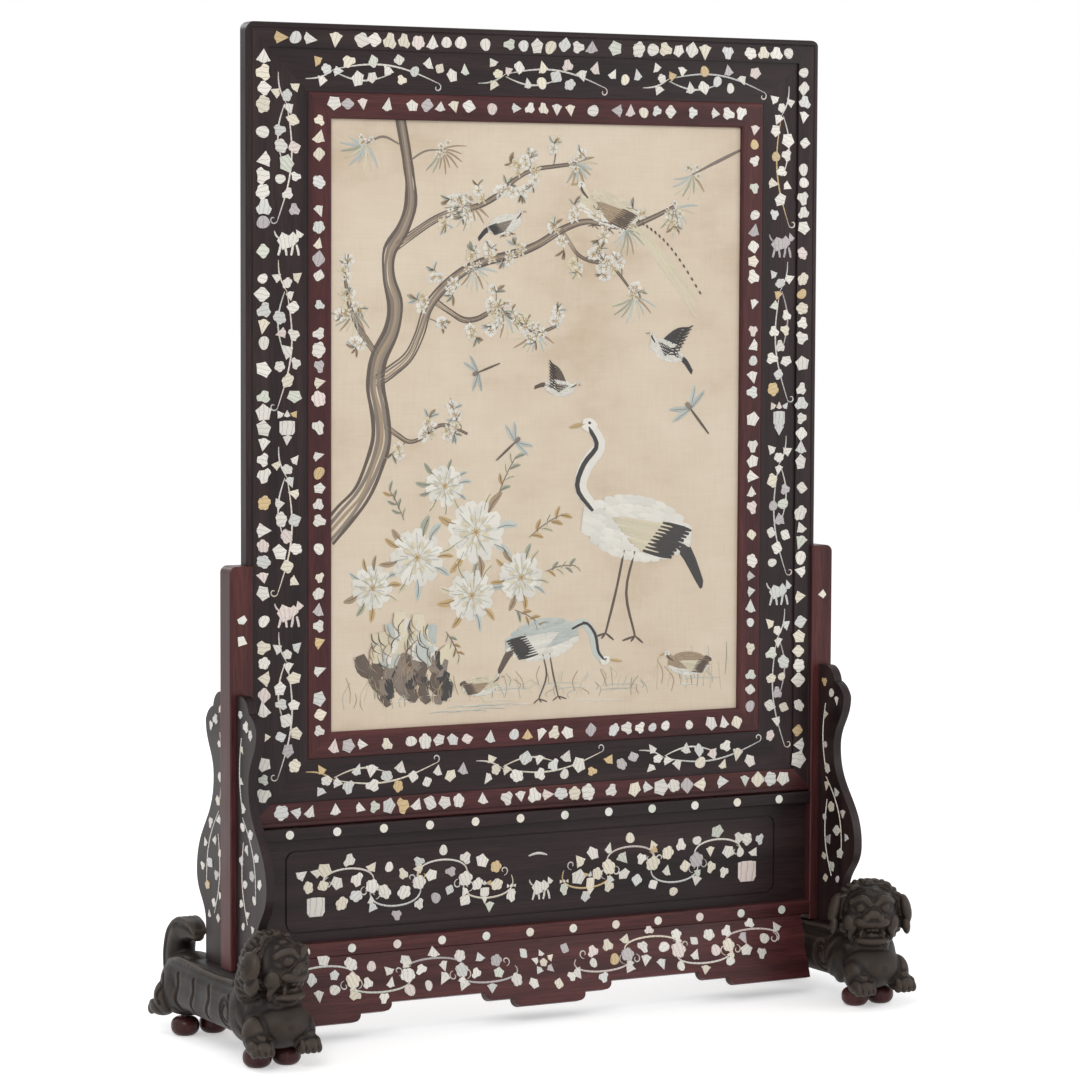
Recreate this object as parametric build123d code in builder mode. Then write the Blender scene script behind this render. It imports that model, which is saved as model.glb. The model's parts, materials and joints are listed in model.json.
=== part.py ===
from build123d import *
from math import cos, radians, sin
import os

# A table screen: a framed silk embroidery that lifts out of two grooved posts.
# The posts stand on carved lion feet, joined by two rails, a panel and sloping aprons.
# Millimetres, +Z up, +Y to the rear, origin on the table under the middle of the stand.

# Screen: its outside size and the widths of its three nested frames
screen_width = 554.0
screen_height = 668.0
frame_thickness = 14.0
outer_band = 20.5
middle_band = 35.5
sight_band = 22.0
corner_round = 8.0
edge_round = 2.2
bead_width = 4.8
quirk_radius = 0.7
middle_setback = 1.8
sight_setback = 0.5
bead_round = 2.2
back_inset = 4.0
tongue_depth = 3.6
tongue_thickness = 3.0
tongue_y = -1.2

# Silk, stretcher and backing board behind the sight frame
silk_thickness = 0.6
silk_setback = 4.5
rebate_width = 5.0
stretcher_width = 18.0
fit_gap = 0.2
board_thickness = 3.0
board_lap = 5.0
pin_shank_radius = 0.8
pin_head_radius = 2.0
pin_head_height = 0.7
pin_depth = 4.0
pins_across = 3
pins_up = 4

# Stand: heights above the table
seat_height = 182.0
upper_rail_height = 10.5
lower_rail_height = 12.5
lower_rail_base = 70.5
post_top = 402.5
lion_back = 66.0

# Posts and their grooves
post_width = 21.0
post_depth = 21.0
groove_depth = 4.5
slide_gap = 0.3
post_round = 1.2
post_crown = 6.0
foot_tenon = 13.0
foot_tenon_length = 30.0
rail_tenon_length = 12.0
rail_tenon_depth = 10.0
rail_tenon_cheek = 2.2
peg_radius = 1.8
peg_cover = 6.0

# Panel between the rails
panel_thickness = 7.0
panel_setback = 8.5
panel_tongue = 4.0
field_margin_x = 34.0
field_margin_top = 11.0
field_margin_bottom = 10.0
field_corner = 8.0
field_groove = 1.8
field_groove_depth = 1.4

# Aprons: a sloping board with a stepped lower edge
apron_thickness = 8.0
apron_slope = 17.2
apron_housing = 3.0
apron_low = 17.0
apron_high = 30.5
apron_step = 23.5
apron_end_reach = 83.0
apron_step_reach = 113.0
apron_center_low = 16.5
apron_center_inner = 35.0
apron_center_outer = 62.0
apron_curve = 6.5

# Spandrel plates, measured from the stand's middle plane and the table
spandrel_thickness = 8.0
spandrel_inset = 5.0
spandrel_housing = 2.0
spandrel_bulge = 2.0
spandrel_top = 296.0
spandrel_shoulder_y = 36.0
spandrel_shoulder_z = 283.0
spandrel_lobe_y = 51.5
spandrel_lobe_z = 270.0
spandrel_waist_y = 35.5
spandrel_waist_z = 224.0
spandrel_belly_y = 71.0
spandrel_belly_z = 140.0
spandrel_foot_y = 52.0
spandrel_foot_z = 96.0

# Lion feet: body; a setback is measured from the lion's front or rear end
lion_offset = 5.7
lion_half_length = 118.0
lion_body_width = 56.0
lion_belly = 17.0
chest_width = 60.0
rump_width = 54.0
chest_end_width = 38.0
rump_end_width = 34.0
chest_setback = 20.0
shoulder_setback = 52.0
haunch_setback = 58.0
rump_setback = 20.0
body_end_rise = 9.0
body_round = 12.0

# Lion feet: mane, head, muzzle and ears
head_turn = 26.0
mane_radius = 30.0
mane_half_thickness = 15.0
mane_round = 10.0
mane_setback = 36.0
mane_z = 81.0
head_radius = 24.0
head_forward = 9.0
head_rise = 3.0
muzzle_radius = 13.0
muzzle_half_length = 13.0
muzzle_round = 5.0
muzzle_forward = 20.0
muzzle_drop = 4.0
jaw_radius = 10.0
jaw_drop = 14.0
mouth_gap = 4.0
mouth_drop = 9.0
mouth_deep = 12.0
eye_radius = 4.5
eye_spread = 9.0
eye_rise = 13.0
ear_spread = 34.0
ear_radius = 6.5
ear_half_length = 12.0
ear_round = 5.0
curl_radius = 6.0
curl_count = 9
curl_start = -20.0
curl_ring = 24.0

# Lion feet: paws, legs, pads over the ball feet, tail and flank stripes
paw_spread = 22.0
paw_base = 12.0
paw_width = 20.0
paw_length = 30.0
paw_height = 13.0
paw_round = 7.0
rear_paw_setback = 8.0
leg_radius = 10.5
leg_height = 14.0
leg_setback = 3.0
toe_gap = 1.6
toe_length = 8.0
pad_margin = 4.0
pad_height = 14.0
tail_radius = 11.0
tail_swing = 16.0
tail_z = 66.0
tail_drop = 26.0
tail_arc = 150.0
stripe_width = 3.0
stripe_depth = 1.4
stripe_pitch = 24.0
stripe_count = 4
stripe_start = -16.0
stripe_height = 27.0

# Ball feet under the lions
ball_radius = 12.0
ball_height = 16.0
ball_flat = 5.0
ball_neck = 6.5
ball_stem_radius = 3.5
ball_stem_length = 10.0
ball_pair_spacing = 26.0
ball_front_setback = 36.0
ball_rear_setback = 52.0

# Mother-of-pearl: dots in the rails, chips and vine strips on the boards
dot_radius = 3.7
dot_depth = 2.0
dot_rise = 0.3
dot_count = 12
upper_dot_pitch = 43.6
lower_dot_pitch = 42.6
lower_dot_shift = 9.3
chip_rise = 0.4
outer_chip = 12.0
outer_chip_pitch = 15.6
sight_chip = 10.5
sight_chip_pitch = 14.4
leaf_chip = 8.5
vine_width = 2.2
pot_width = 22.0
pot_height = 12.0
spandrel_chip = 8.0
post_chip_drop = 44.0
second_chip_drop = 61.6
vine_motif_pitch = 150.0
vine_motif_gap = 24.0
vine_rise = 9.0
pot_margin = 27.0
vine_center_gap = 24.0
vine_end_gap = 44.0
panel_vine_rise = 17.0
panel_lobes = 4
apron_vine_rise = 12.0
apron_lobes = 4

# Places worked out from the sizes above
half_thickness = frame_thickness / 2
screen_top = seat_height + screen_height
screen_middle = seat_height + screen_height / 2
half_width = screen_width / 2
half_height = screen_height / 2
middle_edge = outer_band + middle_band
sight_edge = middle_edge + sight_band
frame_back = half_thickness - back_inset
silk_front = -half_thickness + silk_setback
silk_back = silk_front + silk_thickness
post_inner = half_width + slide_gap - groove_depth
post_center = post_inner + post_width / 2
post_outer = post_inner + post_width
post_face = post_depth / 2
upper_rail_base = seat_height - slide_gap - upper_rail_height
lower_rail_top = lower_rail_base + lower_rail_height
panel_front = -post_face + panel_setback
panel_middle = panel_front + panel_thickness / 2
spandrel_x = post_outer - spandrel_inset - spandrel_thickness / 2
lion_x = post_center + lion_offset
chest_y = lion_half_length - chest_setback
shoulder_y = lion_half_length - shoulder_setback
haunch_y = lion_half_length - haunch_setback
rump_y = lion_half_length - rump_setback
mane_y = lion_half_length - mane_setback
ball_front_y = lion_half_length - ball_front_setback
ball_rear_y = lion_half_length - ball_rear_setback
apron_half_length = lion_x - lion_body_width / 2 + apron_housing
apron_angle = radians(apron_slope)

os.makedirs("parts", exist_ok=True)


def save(part, name):
    part.label = name
    export_step(part, "parts/" + name + ".step")


def front_plane(y):
    """Upright plane seen from the front, X to the right and Z up, at depth y."""
    return Plane.XZ.offset(-y)


def side_frame(side):
    """Middle of one outside edge of the screen, the way in and the way along it, and half its length."""
    if side == "top":
        return (0, 0, screen_top), (0, 0, -1), (1, 0, 0), half_width
    if side == "bottom":
        return (0, 0, seat_height), (0, 0, 1), (-1, 0, 0), half_width
    if side == "left":
        return (-half_width, 0, screen_middle), (1, 0, 0), (0, 0, 1), half_height
    return (half_width, 0, screen_middle), (-1, 0, 0), (0, 0, -1), half_height


def mitre(side):
    """Cut both ends of a frame member at 45 degrees, on lines from the screen's outer corners."""
    middle, inward, along, half = side_frame(side)
    middle = Vector(*middle)
    inward = Vector(*inward)
    along = Vector(*along)
    for end in (1, -1):
        corner = middle + along * (end * half)
        split(bisect_by=Plane(origin=corner, z_dir=along * end + inward), keep=Keep.BOTTOM)


def member_plane(side):
    middle, inward, along, half = side_frame(side)
    return Plane(origin=middle, x_dir=inward, z_dir=along)


# Pins hold the backing board to the middle band, in a line round the screen
pin_line = outer_band + middle_band / 2
pin_half_x = half_width - pin_line
pin_half_z = half_height - pin_line
pin_points = [(-pin_half_x + 2 * pin_half_x * (i + 0.5) / pins_across, screen_middle + s * pin_half_z)
              for i in range(pins_across) for s in (-1, 1)]
pin_points += [(s * pin_half_x, screen_middle - pin_half_z + 2 * pin_half_z * (i + 0.5) / pins_up)
               for i in range(pins_up) for s in (-1, 1)]


def drill_pins(y):
    """Pin holes that start at depth y and run towards the front."""
    with BuildSketch(front_plane(y)) as holes:
        with Locations(*pin_points):
            Circle(pin_shank_radius)
    extrude(holes.sketch, amount=board_thickness + pin_depth, mode=Mode.SUBTRACT)


def outer_member(side):
    """Outside frame member: rounded outer edge, a bead line, a groove for the tongue, a back rebate."""
    half = side_frame(side)[3]
    with BuildPart() as member:
        with BuildSketch(member_plane(side)) as section:
            with Locations((outer_band / 2, 0)):
                Rectangle(outer_band, frame_thickness)
            fillet(section.vertices().group_by(Axis.X)[0], radius=edge_round)
            with Locations((bead_width, -half_thickness)):
                Circle(quirk_radius, mode=Mode.SUBTRACT)
            with Locations((outer_band, tongue_y)):
                Rectangle(2 * tongue_depth, tongue_thickness, mode=Mode.SUBTRACT)
            with Locations((outer_band, half_thickness)):
                Rectangle(2 * board_lap, 2 * back_inset, mode=Mode.SUBTRACT)
        extrude(amount=half, both=True)
        mitre(side)
        with BuildSketch(front_plane(0)):
            with Locations((0, screen_middle)):
                RectangleRounded(screen_width, screen_height, corner_round)
        extrude(amount=frame_thickness, both=True, mode=Mode.INTERSECT)
    return member.part


def middle_member(side):
    """Strip of the middle band: tongue in the outside member, groove for the sight frame's tongue."""
    half = side_frame(side)[3]
    front = -half_thickness + middle_setback
    with BuildPart() as member:
        with BuildSketch(member_plane(side)):
            with Locations((outer_band + middle_band / 2, (front + frame_back) / 2)):
                Rectangle(middle_band, frame_back - front)
            with Locations((outer_band - tongue_depth / 2 + fit_gap / 2, tongue_y)):
                Rectangle(tongue_depth - fit_gap, tongue_thickness)
            with Locations((middle_edge, tongue_y)):
                Rectangle(2 * tongue_depth, tongue_thickness, mode=Mode.SUBTRACT)
        extrude(amount=half, both=True)
        mitre(side)
        drill_pins(frame_back)
    return member.part


def sight_member(side):
    """Strip of the red sight frame: raised rounded edge, tongue outwards, rebate for the stretcher."""
    half = side_frame(side)[3]
    front = -half_thickness + sight_setback
    with BuildPart() as member:
        with BuildSketch(member_plane(side)) as section:
            with Locations((middle_edge + sight_band / 2, (front + frame_back) / 2)):
                Rectangle(sight_band, frame_back - front)
            fillet(section.vertices().group_by(Axis.Y)[0], radius=bead_round)
            with Locations((middle_edge - tongue_depth / 2 + fit_gap / 2, tongue_y)):
                Rectangle(tongue_depth - fit_gap, tongue_thickness)
            with Locations((sight_edge, (silk_front + frame_back) / 2 + back_inset / 2)):
                Rectangle(2 * rebate_width, frame_back - silk_front + back_inset, mode=Mode.SUBTRACT)
        extrude(amount=half, both=True)
        mitre(side)
    return member.part


def stretcher_member(side):
    """Bar that the silk is stretched on, in the sight frame's rebate."""
    half = side_frame(side)[3]
    outside = sight_edge - rebate_width + fit_gap
    with BuildPart() as member:
        with BuildSketch(member_plane(side)):
            with Locations((outside + stretcher_width / 2, (silk_back + frame_back) / 2)):
                Rectangle(stretcher_width, frame_back - silk_back)
        extrude(amount=half, both=True)
        mitre(side)
    return member.part


for side in ("top", "bottom", "left", "right"):
    save(outer_member(side), "frame_outer_" + side)
    save(middle_member(side), "frame_middle_" + side)
    save(sight_member(side), "frame_sight_" + side)
    save(stretcher_member(side), "stretcher_" + side)

# Embroidered silk: a thin sheet over the front of the stretcher
silk_reach = sight_edge - rebate_width + fit_gap
with BuildPart() as silk:
    with BuildSketch(front_plane(silk_back)):
        with Locations((0, screen_middle)):
            Rectangle(screen_width - 2 * silk_reach, screen_height - 2 * silk_reach)
    extrude(amount=silk_thickness)
save(silk.part, "embroidered_silk")

# Backing board in the back rebate, held by small brass pins
board_reach = outer_band - board_lap + fit_gap
with BuildPart() as backing_board:
    with BuildSketch(front_plane(frame_back)):
        with Locations((0, screen_middle)):
            Rectangle(screen_width - 2 * board_reach, screen_height - 2 * board_reach)
    extrude(amount=-board_thickness)
    drill_pins(frame_back + board_thickness)
save(backing_board.part, "backing_board")

with BuildPart() as board_pins:
    with BuildSketch(front_plane(frame_back + board_thickness)):
        with Locations(*pin_points):
            Circle(pin_head_radius)
    extrude(amount=-pin_head_height)
    with BuildSketch(front_plane(frame_back + board_thickness)):
        with Locations(*pin_points):
            Circle(pin_shank_radius)
    extrude(amount=board_thickness + pin_depth)
save(board_pins.part, "board_pins")


def rail(base, height, groove_base, dots):
    """Rail between the posts: end tenons, rounded long edges, panel groove, holes for dots and pegs."""
    with BuildPart() as bar:
        with BuildSketch(Plane.XY.offset(base)):
            Rectangle(2 * post_inner, post_depth)
        extrude(amount=height)
        fillet(bar.edges().filter_by(Axis.X), radius=post_round)
        with BuildSketch(Plane.XY.offset(base + rail_tenon_cheek)):
            Rectangle(2 * (post_inner + rail_tenon_length), rail_tenon_depth)
        extrude(amount=height - 2 * rail_tenon_cheek)
        with BuildSketch(Plane.XY.offset(groove_base)):
            with Locations((0, panel_middle)):
                Rectangle(2 * (post_inner + panel_tongue), panel_thickness)
        extrude(amount=panel_tongue, mode=Mode.SUBTRACT)
        with BuildSketch(front_plane(-post_face + dot_depth)):
            with Locations(*dots):
                Circle(dot_radius)
        extrude(amount=dot_depth, mode=Mode.SUBTRACT)
        with BuildSketch(front_plane(post_face)):
            with Locations(*[(s * peg_x, base + height / 2) for s in (-1, 1)]):
                Circle(peg_radius)
        extrude(amount=peg_length, mode=Mode.SUBTRACT)
    return bar.part


def dot_points(pitch, shift, height):
    return [((i - (dot_count - 1) / 2) * pitch + shift, height) for i in range(dot_count)]


def pearl_dots(dots):
    """Round pearl pins, slightly proud of the rail's front."""
    with BuildPart() as pins:
        with BuildSketch(front_plane(-post_face + dot_depth)):
            with Locations(*dots):
                Circle(dot_radius)
        extrude(amount=dot_depth + dot_rise)
    return pins.part


# Rails: the screen stands on the upper one, and both hold the panel's edges in grooves
peg_x = post_inner + rail_tenon_length / 2
peg_length = post_depth - peg_cover
upper_middle = upper_rail_base + upper_rail_height / 2
lower_middle = lower_rail_base + lower_rail_height / 2
upper_dots = dot_points(upper_dot_pitch, 0, upper_middle)
lower_dots = dot_points(lower_dot_pitch, lower_dot_shift, lower_middle)
upper_rail = rail(upper_rail_base, upper_rail_height, upper_rail_base, upper_dots)
lower_rail = rail(lower_rail_base, lower_rail_height, lower_rail_top - panel_tongue, lower_dots)
save(upper_rail, "upper_rail")
save(lower_rail, "lower_rail")
save(pearl_dots(upper_dots), "upper_rail_dots")
save(pearl_dots(lower_dots), "lower_rail_dots")

with BuildPart() as rail_pegs:
    with BuildSketch(front_plane(post_face)):
        with Locations(*[(s * peg_x, z) for s in (-1, 1) for z in (lower_middle, upper_middle)]):
            Circle(peg_radius)
    extrude(amount=peg_length)
save(rail_pegs.part, "rail_pegs")

# Panel: one board with a grooved field on its front
panel_low = lower_rail_top - panel_tongue
panel_high = upper_rail_base + panel_tongue
field_low = lower_rail_top + field_margin_bottom
field_high = upper_rail_base - field_margin_top
field_middle = (field_low + field_high) / 2
field_width = 2 * (post_inner - field_margin_x)
field_height = field_high - field_low
with BuildPart() as panel:
    with BuildSketch(front_plane(panel_front)):
        with Locations((0, (panel_low + panel_high) / 2)):
            Rectangle(2 * (post_inner + panel_tongue), panel_high - panel_low)
    extrude(amount=-panel_thickness)
    with BuildSketch(front_plane(panel_front)):
        with Locations((0, field_middle)):
            RectangleRounded(field_width + 2 * field_groove, field_height + 2 * field_groove,
                             field_corner + field_groove)
            RectangleRounded(field_width, field_height, field_corner, mode=Mode.SUBTRACT)
    extrude(amount=-field_groove_depth, mode=Mode.SUBTRACT)
save(panel.part, "panel")

# Aprons: sloping boards under the lower rail, lower at the ends and in the middle
apron_plane = Plane(origin=(0, -post_face, lower_rail_base), x_dir=(1, 0, 0),
                    z_dir=(0, -cos(apron_angle), sin(apron_angle)))


def on_apron(z):
    """Distance up the apron's slope for a height above the table."""
    return (z - lower_rail_base) / cos(apron_angle)


def apron_drop(start, end, low):
    """Part of the apron that hangs lower, with rounded lower corners."""
    with Locations(((start + end) / 2, on_apron(low) / 2)):
        RectangleRounded(end - start, -on_apron(low), apron_curve)


with BuildPart() as apron_front:
    with BuildSketch(apron_plane):
        with Locations((0, on_apron(apron_high) / 2 + apron_thickness / 2)):
            Rectangle(2 * apron_half_length, apron_thickness - on_apron(apron_high))
        apron_drop(-apron_center_outer, apron_center_outer, apron_step)
        apron_drop(-apron_center_inner, apron_center_inner, apron_center_low)
        for reach, low in ((apron_step_reach, apron_step), (apron_end_reach, apron_low)):
            apron_drop(apron_half_length - reach, apron_half_length + apron_curve, low)
            apron_drop(-apron_half_length - apron_curve, reach - apron_half_length, low)
        Rectangle(2 * apron_half_length, 4 * lower_rail_base, mode=Mode.INTERSECT)
    extrude(amount=-apron_thickness)
    split(bisect_by=Plane.XY.offset(lower_rail_base), keep=Keep.BOTTOM)
save(apron_front.part, "apron_front")

with BuildPart() as apron_rear:
    mirror(apron_front.part, about=Plane.XZ)
save(apron_rear.part, "apron_rear")


# Spandrels: shaped plates at the front and rear of each post, standing on the lion's back
def spandrel(side, end):
    """side is -1 at the left, end is -1 at the front."""
    lobe = (spandrel_lobe_y, spandrel_lobe_z)
    shoulder = (spandrel_shoulder_y, spandrel_shoulder_z)
    waist = (spandrel_waist_y, spandrel_waist_z)
    belly = (spandrel_belly_y, spandrel_belly_z)
    foot = (spandrel_foot_y, spandrel_foot_z)
    start = post_face - spandrel_housing
    bulge_y = (post_face + spandrel_shoulder_y) / 2
    crest_y = (bulge_y + 2 * spandrel_shoulder_y) / 3
    crest_z = (spandrel_top + spandrel_shoulder_z) / 2 + spandrel_bulge
    cheek_y = (spandrel_shoulder_y + 2 * spandrel_lobe_y) / 3
    cheek_z = (spandrel_shoulder_z + spandrel_lobe_z) / 2 + spandrel_bulge / 2
    with BuildPart() as plate:
        with BuildSketch(Plane.YZ.offset(spandrel_x - spandrel_thickness / 2)):
            with BuildLine():
                Line((start, lion_back), (start, spandrel_top))
                Line((start, spandrel_top), (bulge_y, spandrel_top))
                ThreePointArc((bulge_y, spandrel_top), (crest_y, crest_z), shoulder)
                ThreePointArc(shoulder, (cheek_y, cheek_z), lobe)
                Spline(lobe, waist, tangents=[(0, -1), (0, -1)])
                Spline(waist, belly, tangents=[(0, -1), (0, -1)])
                Spline(belly, foot, tangents=[(0, -1), (0, -1)])
                Line(foot, (spandrel_foot_y, lion_back))
                Line((spandrel_foot_y, lion_back), (start, lion_back))
            make_face()
        extrude(amount=spandrel_thickness)
        if end < 0:
            mirror(about=Plane.XZ, mode=Mode.REPLACE)
        if side < 0:
            mirror(about=Plane.YZ, mode=Mode.REPLACE)
    return plate.part


side_names = {-1: "left", 1: "right"}
end_names = {-1: "front", 1: "rear"}
for side in side_names:
    for end in end_names:
        save(spandrel(side, end), "spandrel_" + side_names[side] + "_" + end_names[end])

# Posts: grooved above the upper rail, tenoned into the lions below
with BuildPart() as post_right:
    with BuildSketch(Plane.XY.offset(lion_back)):
        with Locations((post_center, 0)):
            Rectangle(post_width, post_depth)
    extrude(amount=post_top - lion_back)
    outer_top = post_right.edges().filter_by(Axis.Y).sort_by(Axis.X).group_by(Axis.Z)[-1][-1]
    fillet(outer_top, radius=post_crown)
    fillet(post_right.edges().filter_by(Axis.Z), radius=post_round)
    with BuildSketch(Plane.XY.offset(lion_back - foot_tenon_length)):
        with Locations((post_center, 0)):
            Rectangle(foot_tenon, foot_tenon)
    extrude(amount=foot_tenon_length)
    with BuildSketch(Plane.XY.offset(seat_height - slide_gap)):
        with Locations((post_inner, 0)):
            Rectangle(2 * groove_depth, frame_thickness + 2 * slide_gap)
    extrude(amount=post_top - seat_height + slide_gap, mode=Mode.SUBTRACT)
    for piece in (upper_rail, lower_rail, panel.part, rail_pegs.part, spandrel(1, -1), spandrel(1, 1)):
        add(piece, mode=Mode.SUBTRACT)
save(post_right.part, "post_right")

with BuildPart() as post_left:
    mirror(post_right.part, about=Plane.YZ)
save(post_left.part, "post_left")


# Ball feet: turned buns with a stem in the lion, two under the front paws and two behind the middle
def ball_foot(x, y):
    shoulder = ball_height / 2
    with BuildPart() as ball:
        with BuildSketch(Plane(origin=(x, y, 0), x_dir=(1, 0, 0), z_dir=(0, -1, 0))):
            with BuildLine():
                Line((0, 0), (ball_flat, 0))
                ThreePointArc((ball_flat, 0), ((ball_flat + 3 * ball_radius) / 4, shoulder / 3),
                              (ball_radius, shoulder))
                ThreePointArc((ball_radius, shoulder), ((ball_neck + 3 * ball_radius) / 4, 5 * shoulder / 3),
                              (ball_neck, ball_height))
                Line((ball_neck, ball_height), (ball_stem_radius, ball_height))
                Line((ball_stem_radius, ball_height), (ball_stem_radius, ball_height + ball_stem_length))
                Line((ball_stem_radius, ball_height + ball_stem_length), (0, ball_height + ball_stem_length))
                Line((0, ball_height + ball_stem_length), (0, 0))
            make_face()
        revolve(axis=Axis((x, y, 0), (0, 0, 1)))
    return ball.part


ball_rows = {"front": -ball_front_y, "rear": ball_rear_y}
ball_columns = {"inner": lion_x - ball_pair_spacing / 2, "outer": lion_x + ball_pair_spacing / 2}
for side in side_names:
    for row, y in ball_rows.items():
        for column, x in ball_columns.items():
            save(ball_foot(side * x, y), "ball_foot_" + side_names[side] + "_" + row + "_" + column)


# Lion feet: a long body under the post, the head turned inwards, mane curls, paws and a curled tail
def turned(center, axis, half_length, radius, rounding):
    """Round block about an axis, with rounded rims, added to the open part."""
    axis = Vector(*axis).normalized()
    across = Vector(0, 0, 1) if abs(axis.Z) < 0.5 else Vector(1, 0, 0)
    with BuildSketch(Plane(origin=center, x_dir=axis, z_dir=axis.cross(across))) as profile:
        RectangleRounded(2 * half_length, 2 * radius, rounding)
        with Locations((0, -radius)):
            Rectangle(4 * half_length, 2 * radius, mode=Mode.SUBTRACT)
    revolve(profile.sketch, axis=Axis(center, axis))


turn = radians(head_turn)
face_way = Vector(-sin(turn), -cos(turn), 0)
face_side = Vector(cos(turn), -sin(turn), 0)
up_way = Vector(0, 0, 1)
mane_center = Vector(lion_x, -mane_y, mane_z)
muzzle_center = mane_center + face_way * muzzle_forward - up_way * muzzle_drop
pad_side = ball_neck + pad_margin
body_stations = (
    (-chest_y, chest_end_width, lion_belly + body_end_rise, lion_back - body_end_rise),
    (-shoulder_y, chest_width, lion_belly, lion_back),
    (0, lion_body_width, lion_belly, lion_back),
    (haunch_y, rump_width, lion_belly, lion_back),
    (rump_y, rump_end_width, lion_belly + body_end_rise, lion_back - body_end_rise),
)
with BuildPart() as lion_right:
    for y, width, low, high in body_stations:
        with BuildSketch(front_plane(y)):
            with Locations((lion_x, (low + high) / 2)):
                RectangleRounded(width, high - low, body_round)
    loft()
    turned(mane_center, face_way, mane_half_thickness, mane_radius, mane_round)
    with Locations(mane_center + face_way * head_forward + up_way * head_rise):
        Sphere(head_radius)
    turned(muzzle_center, face_way, muzzle_half_length, muzzle_radius, muzzle_round)
    turned(muzzle_center - up_way * jaw_drop, face_way, muzzle_half_length, jaw_radius, muzzle_round)
    for hand in (-1, 1):
        turned(mane_center + face_side * (hand * ear_spread), up_way, ear_half_length, ear_radius, ear_round)
        with Locations(muzzle_center + face_side * (hand * eye_spread) + up_way * eye_rise):
            Sphere(eye_radius)
    curl_places = []
    for i in range(curl_count):
        angle = radians(curl_start + (180 - 2 * curl_start) * i / (curl_count - 1))
        ring = face_side * (cos(angle) * curl_ring) + up_way * (sin(angle) * curl_ring)
        curl_places.append(mane_center + face_way * mane_half_thickness + ring)
    with Locations(*curl_places):
        Sphere(curl_radius)
    for end in end_names:
        tip = lion_half_length if end < 0 else lion_half_length - rear_paw_setback
        for hand in (-1, 1):
            x = lion_x + hand * paw_spread
            with BuildSketch(Plane.XY.offset(paw_base)):
                with Locations((x, end * (tip - paw_length / 2))):
                    RectangleRounded(paw_width, paw_length, paw_round)
            extrude(amount=paw_height)
            with BuildSketch(Plane.XY.offset(paw_base + paw_height)):
                with Locations((x, end * (tip - paw_length / 2 - leg_setback))):
                    Circle(leg_radius)
            extrude(amount=leg_height)
            for toe in (-1, 1):
                with BuildSketch(Plane.XY.offset(paw_base)):
                    with Locations((x + toe * paw_width / 6, end * tip)):
                        Rectangle(toe_gap, 2 * toe_length)
                extrude(amount=paw_height, mode=Mode.SUBTRACT)
    for y in ball_rows.values():
        with BuildSketch(Plane.XY.offset(ball_height)):
            with Locations((lion_x, y)):
                RectangleRounded(ball_pair_spacing + 2 * pad_side, 2 * pad_side, pad_margin)
        extrude(amount=pad_height)
    tail_y = lion_half_length - tail_radius - tail_swing
    with BuildSketch(Plane.XY.offset(tail_z)):
        with Locations((lion_x, tail_y + tail_swing)):
            Circle(tail_radius)
    revolve(axis=Axis((lion_x, tail_y, tail_z), (1, 0, 0)), revolution_arc=tail_arc)
    with BuildSketch(Plane.XY.offset(tail_z)):
        with Locations((lion_x, tail_y + tail_swing)):
            Circle(tail_radius)
    extrude(amount=-tail_drop)
    mouth = Plane(origin=muzzle_center - up_way * mouth_drop, x_dir=face_way, z_dir=(0, 0, 1))
    with BuildSketch(mouth):
        with Locations((muzzle_half_length, 0)):
            Rectangle(2 * mouth_deep, 4 * muzzle_radius)
    extrude(amount=mouth_gap / 2, both=True, mode=Mode.SUBTRACT)
    with BuildSketch(Plane.YZ.offset(lion_x + lion_body_width / 2 - stripe_depth)):
        with Locations(*[(stripe_start + i * stripe_pitch, (lion_belly + lion_back) / 2)
                         for i in range(stripe_count)]):
            RectangleRounded(stripe_width, stripe_height, stripe_width / 2 - fit_gap)
    extrude(amount=lion_body_width, mode=Mode.SUBTRACT)
    for piece in (post_right.part, spandrel(1, -1), spandrel(1, 1), apron_front.part, apron_rear.part):
        add(piece, mode=Mode.SUBTRACT)
    for y in ball_rows.values():
        for x in ball_columns.values():
            add(ball_foot(x, y), mode=Mode.SUBTRACT)
save(lion_right.part, "lion_foot_right")

with BuildPart() as lion_left:
    mirror(lion_right.part, about=Plane.YZ)
save(lion_left.part, "lion_foot_left")


# Mother-of-pearl inlay: thin chips and curved strips on the faces of the boards
def chip(x, z, size, index):
    """One irregular leaf of pearl; its outline and turn follow the index."""
    outlines = (
        ((-0.45, -0.2), (-0.1, -0.5), (0.4, -0.3), (0.5, 0.25), (0.0, 0.5)),
        ((-0.5, -0.4), (0.45, -0.45), (0.3, 0.4), (-0.3, 0.5)),
        ((-0.5, 0.0), (0.1, -0.45), (0.5, -0.1), (0.15, 0.5)),
    )
    outline = outlines[index % len(outlines)]
    with Locations(Location((x, z, 0), (0, 0, (index * 47) % 60 - 30))):
        Polygon(*[(u * size, v * size) for u, v in outline])


def chip_runs(half_length, pitch):
    """Places along a band: runs of five chips, a gap, one chip, a gap."""
    slots = int(half_length // pitch)
    return [slot * pitch for slot in range(-slots, slots + 1) if slot % 8 not in (3, 5)]


def band_inlay(front, line, size, pitch):
    """Chips along all four sides of one frame, on the line that far in from the screen's edge."""
    with BuildPart() as inlay:
        with BuildSketch(front_plane(front)):
            for i, along in enumerate(chip_runs(half_width - line - size, pitch)):
                chip(along, screen_top - line, size, i)
                chip(along, seat_height + line, size, i + 1)
            for i, along in enumerate(chip_runs(half_height - line - size, pitch)):
                chip(-half_width + line, screen_middle + along, size, i + 2)
                chip(half_width - line, screen_middle + along, size, i + 3)
        extrude(amount=chip_rise)
    return inlay.part


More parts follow.
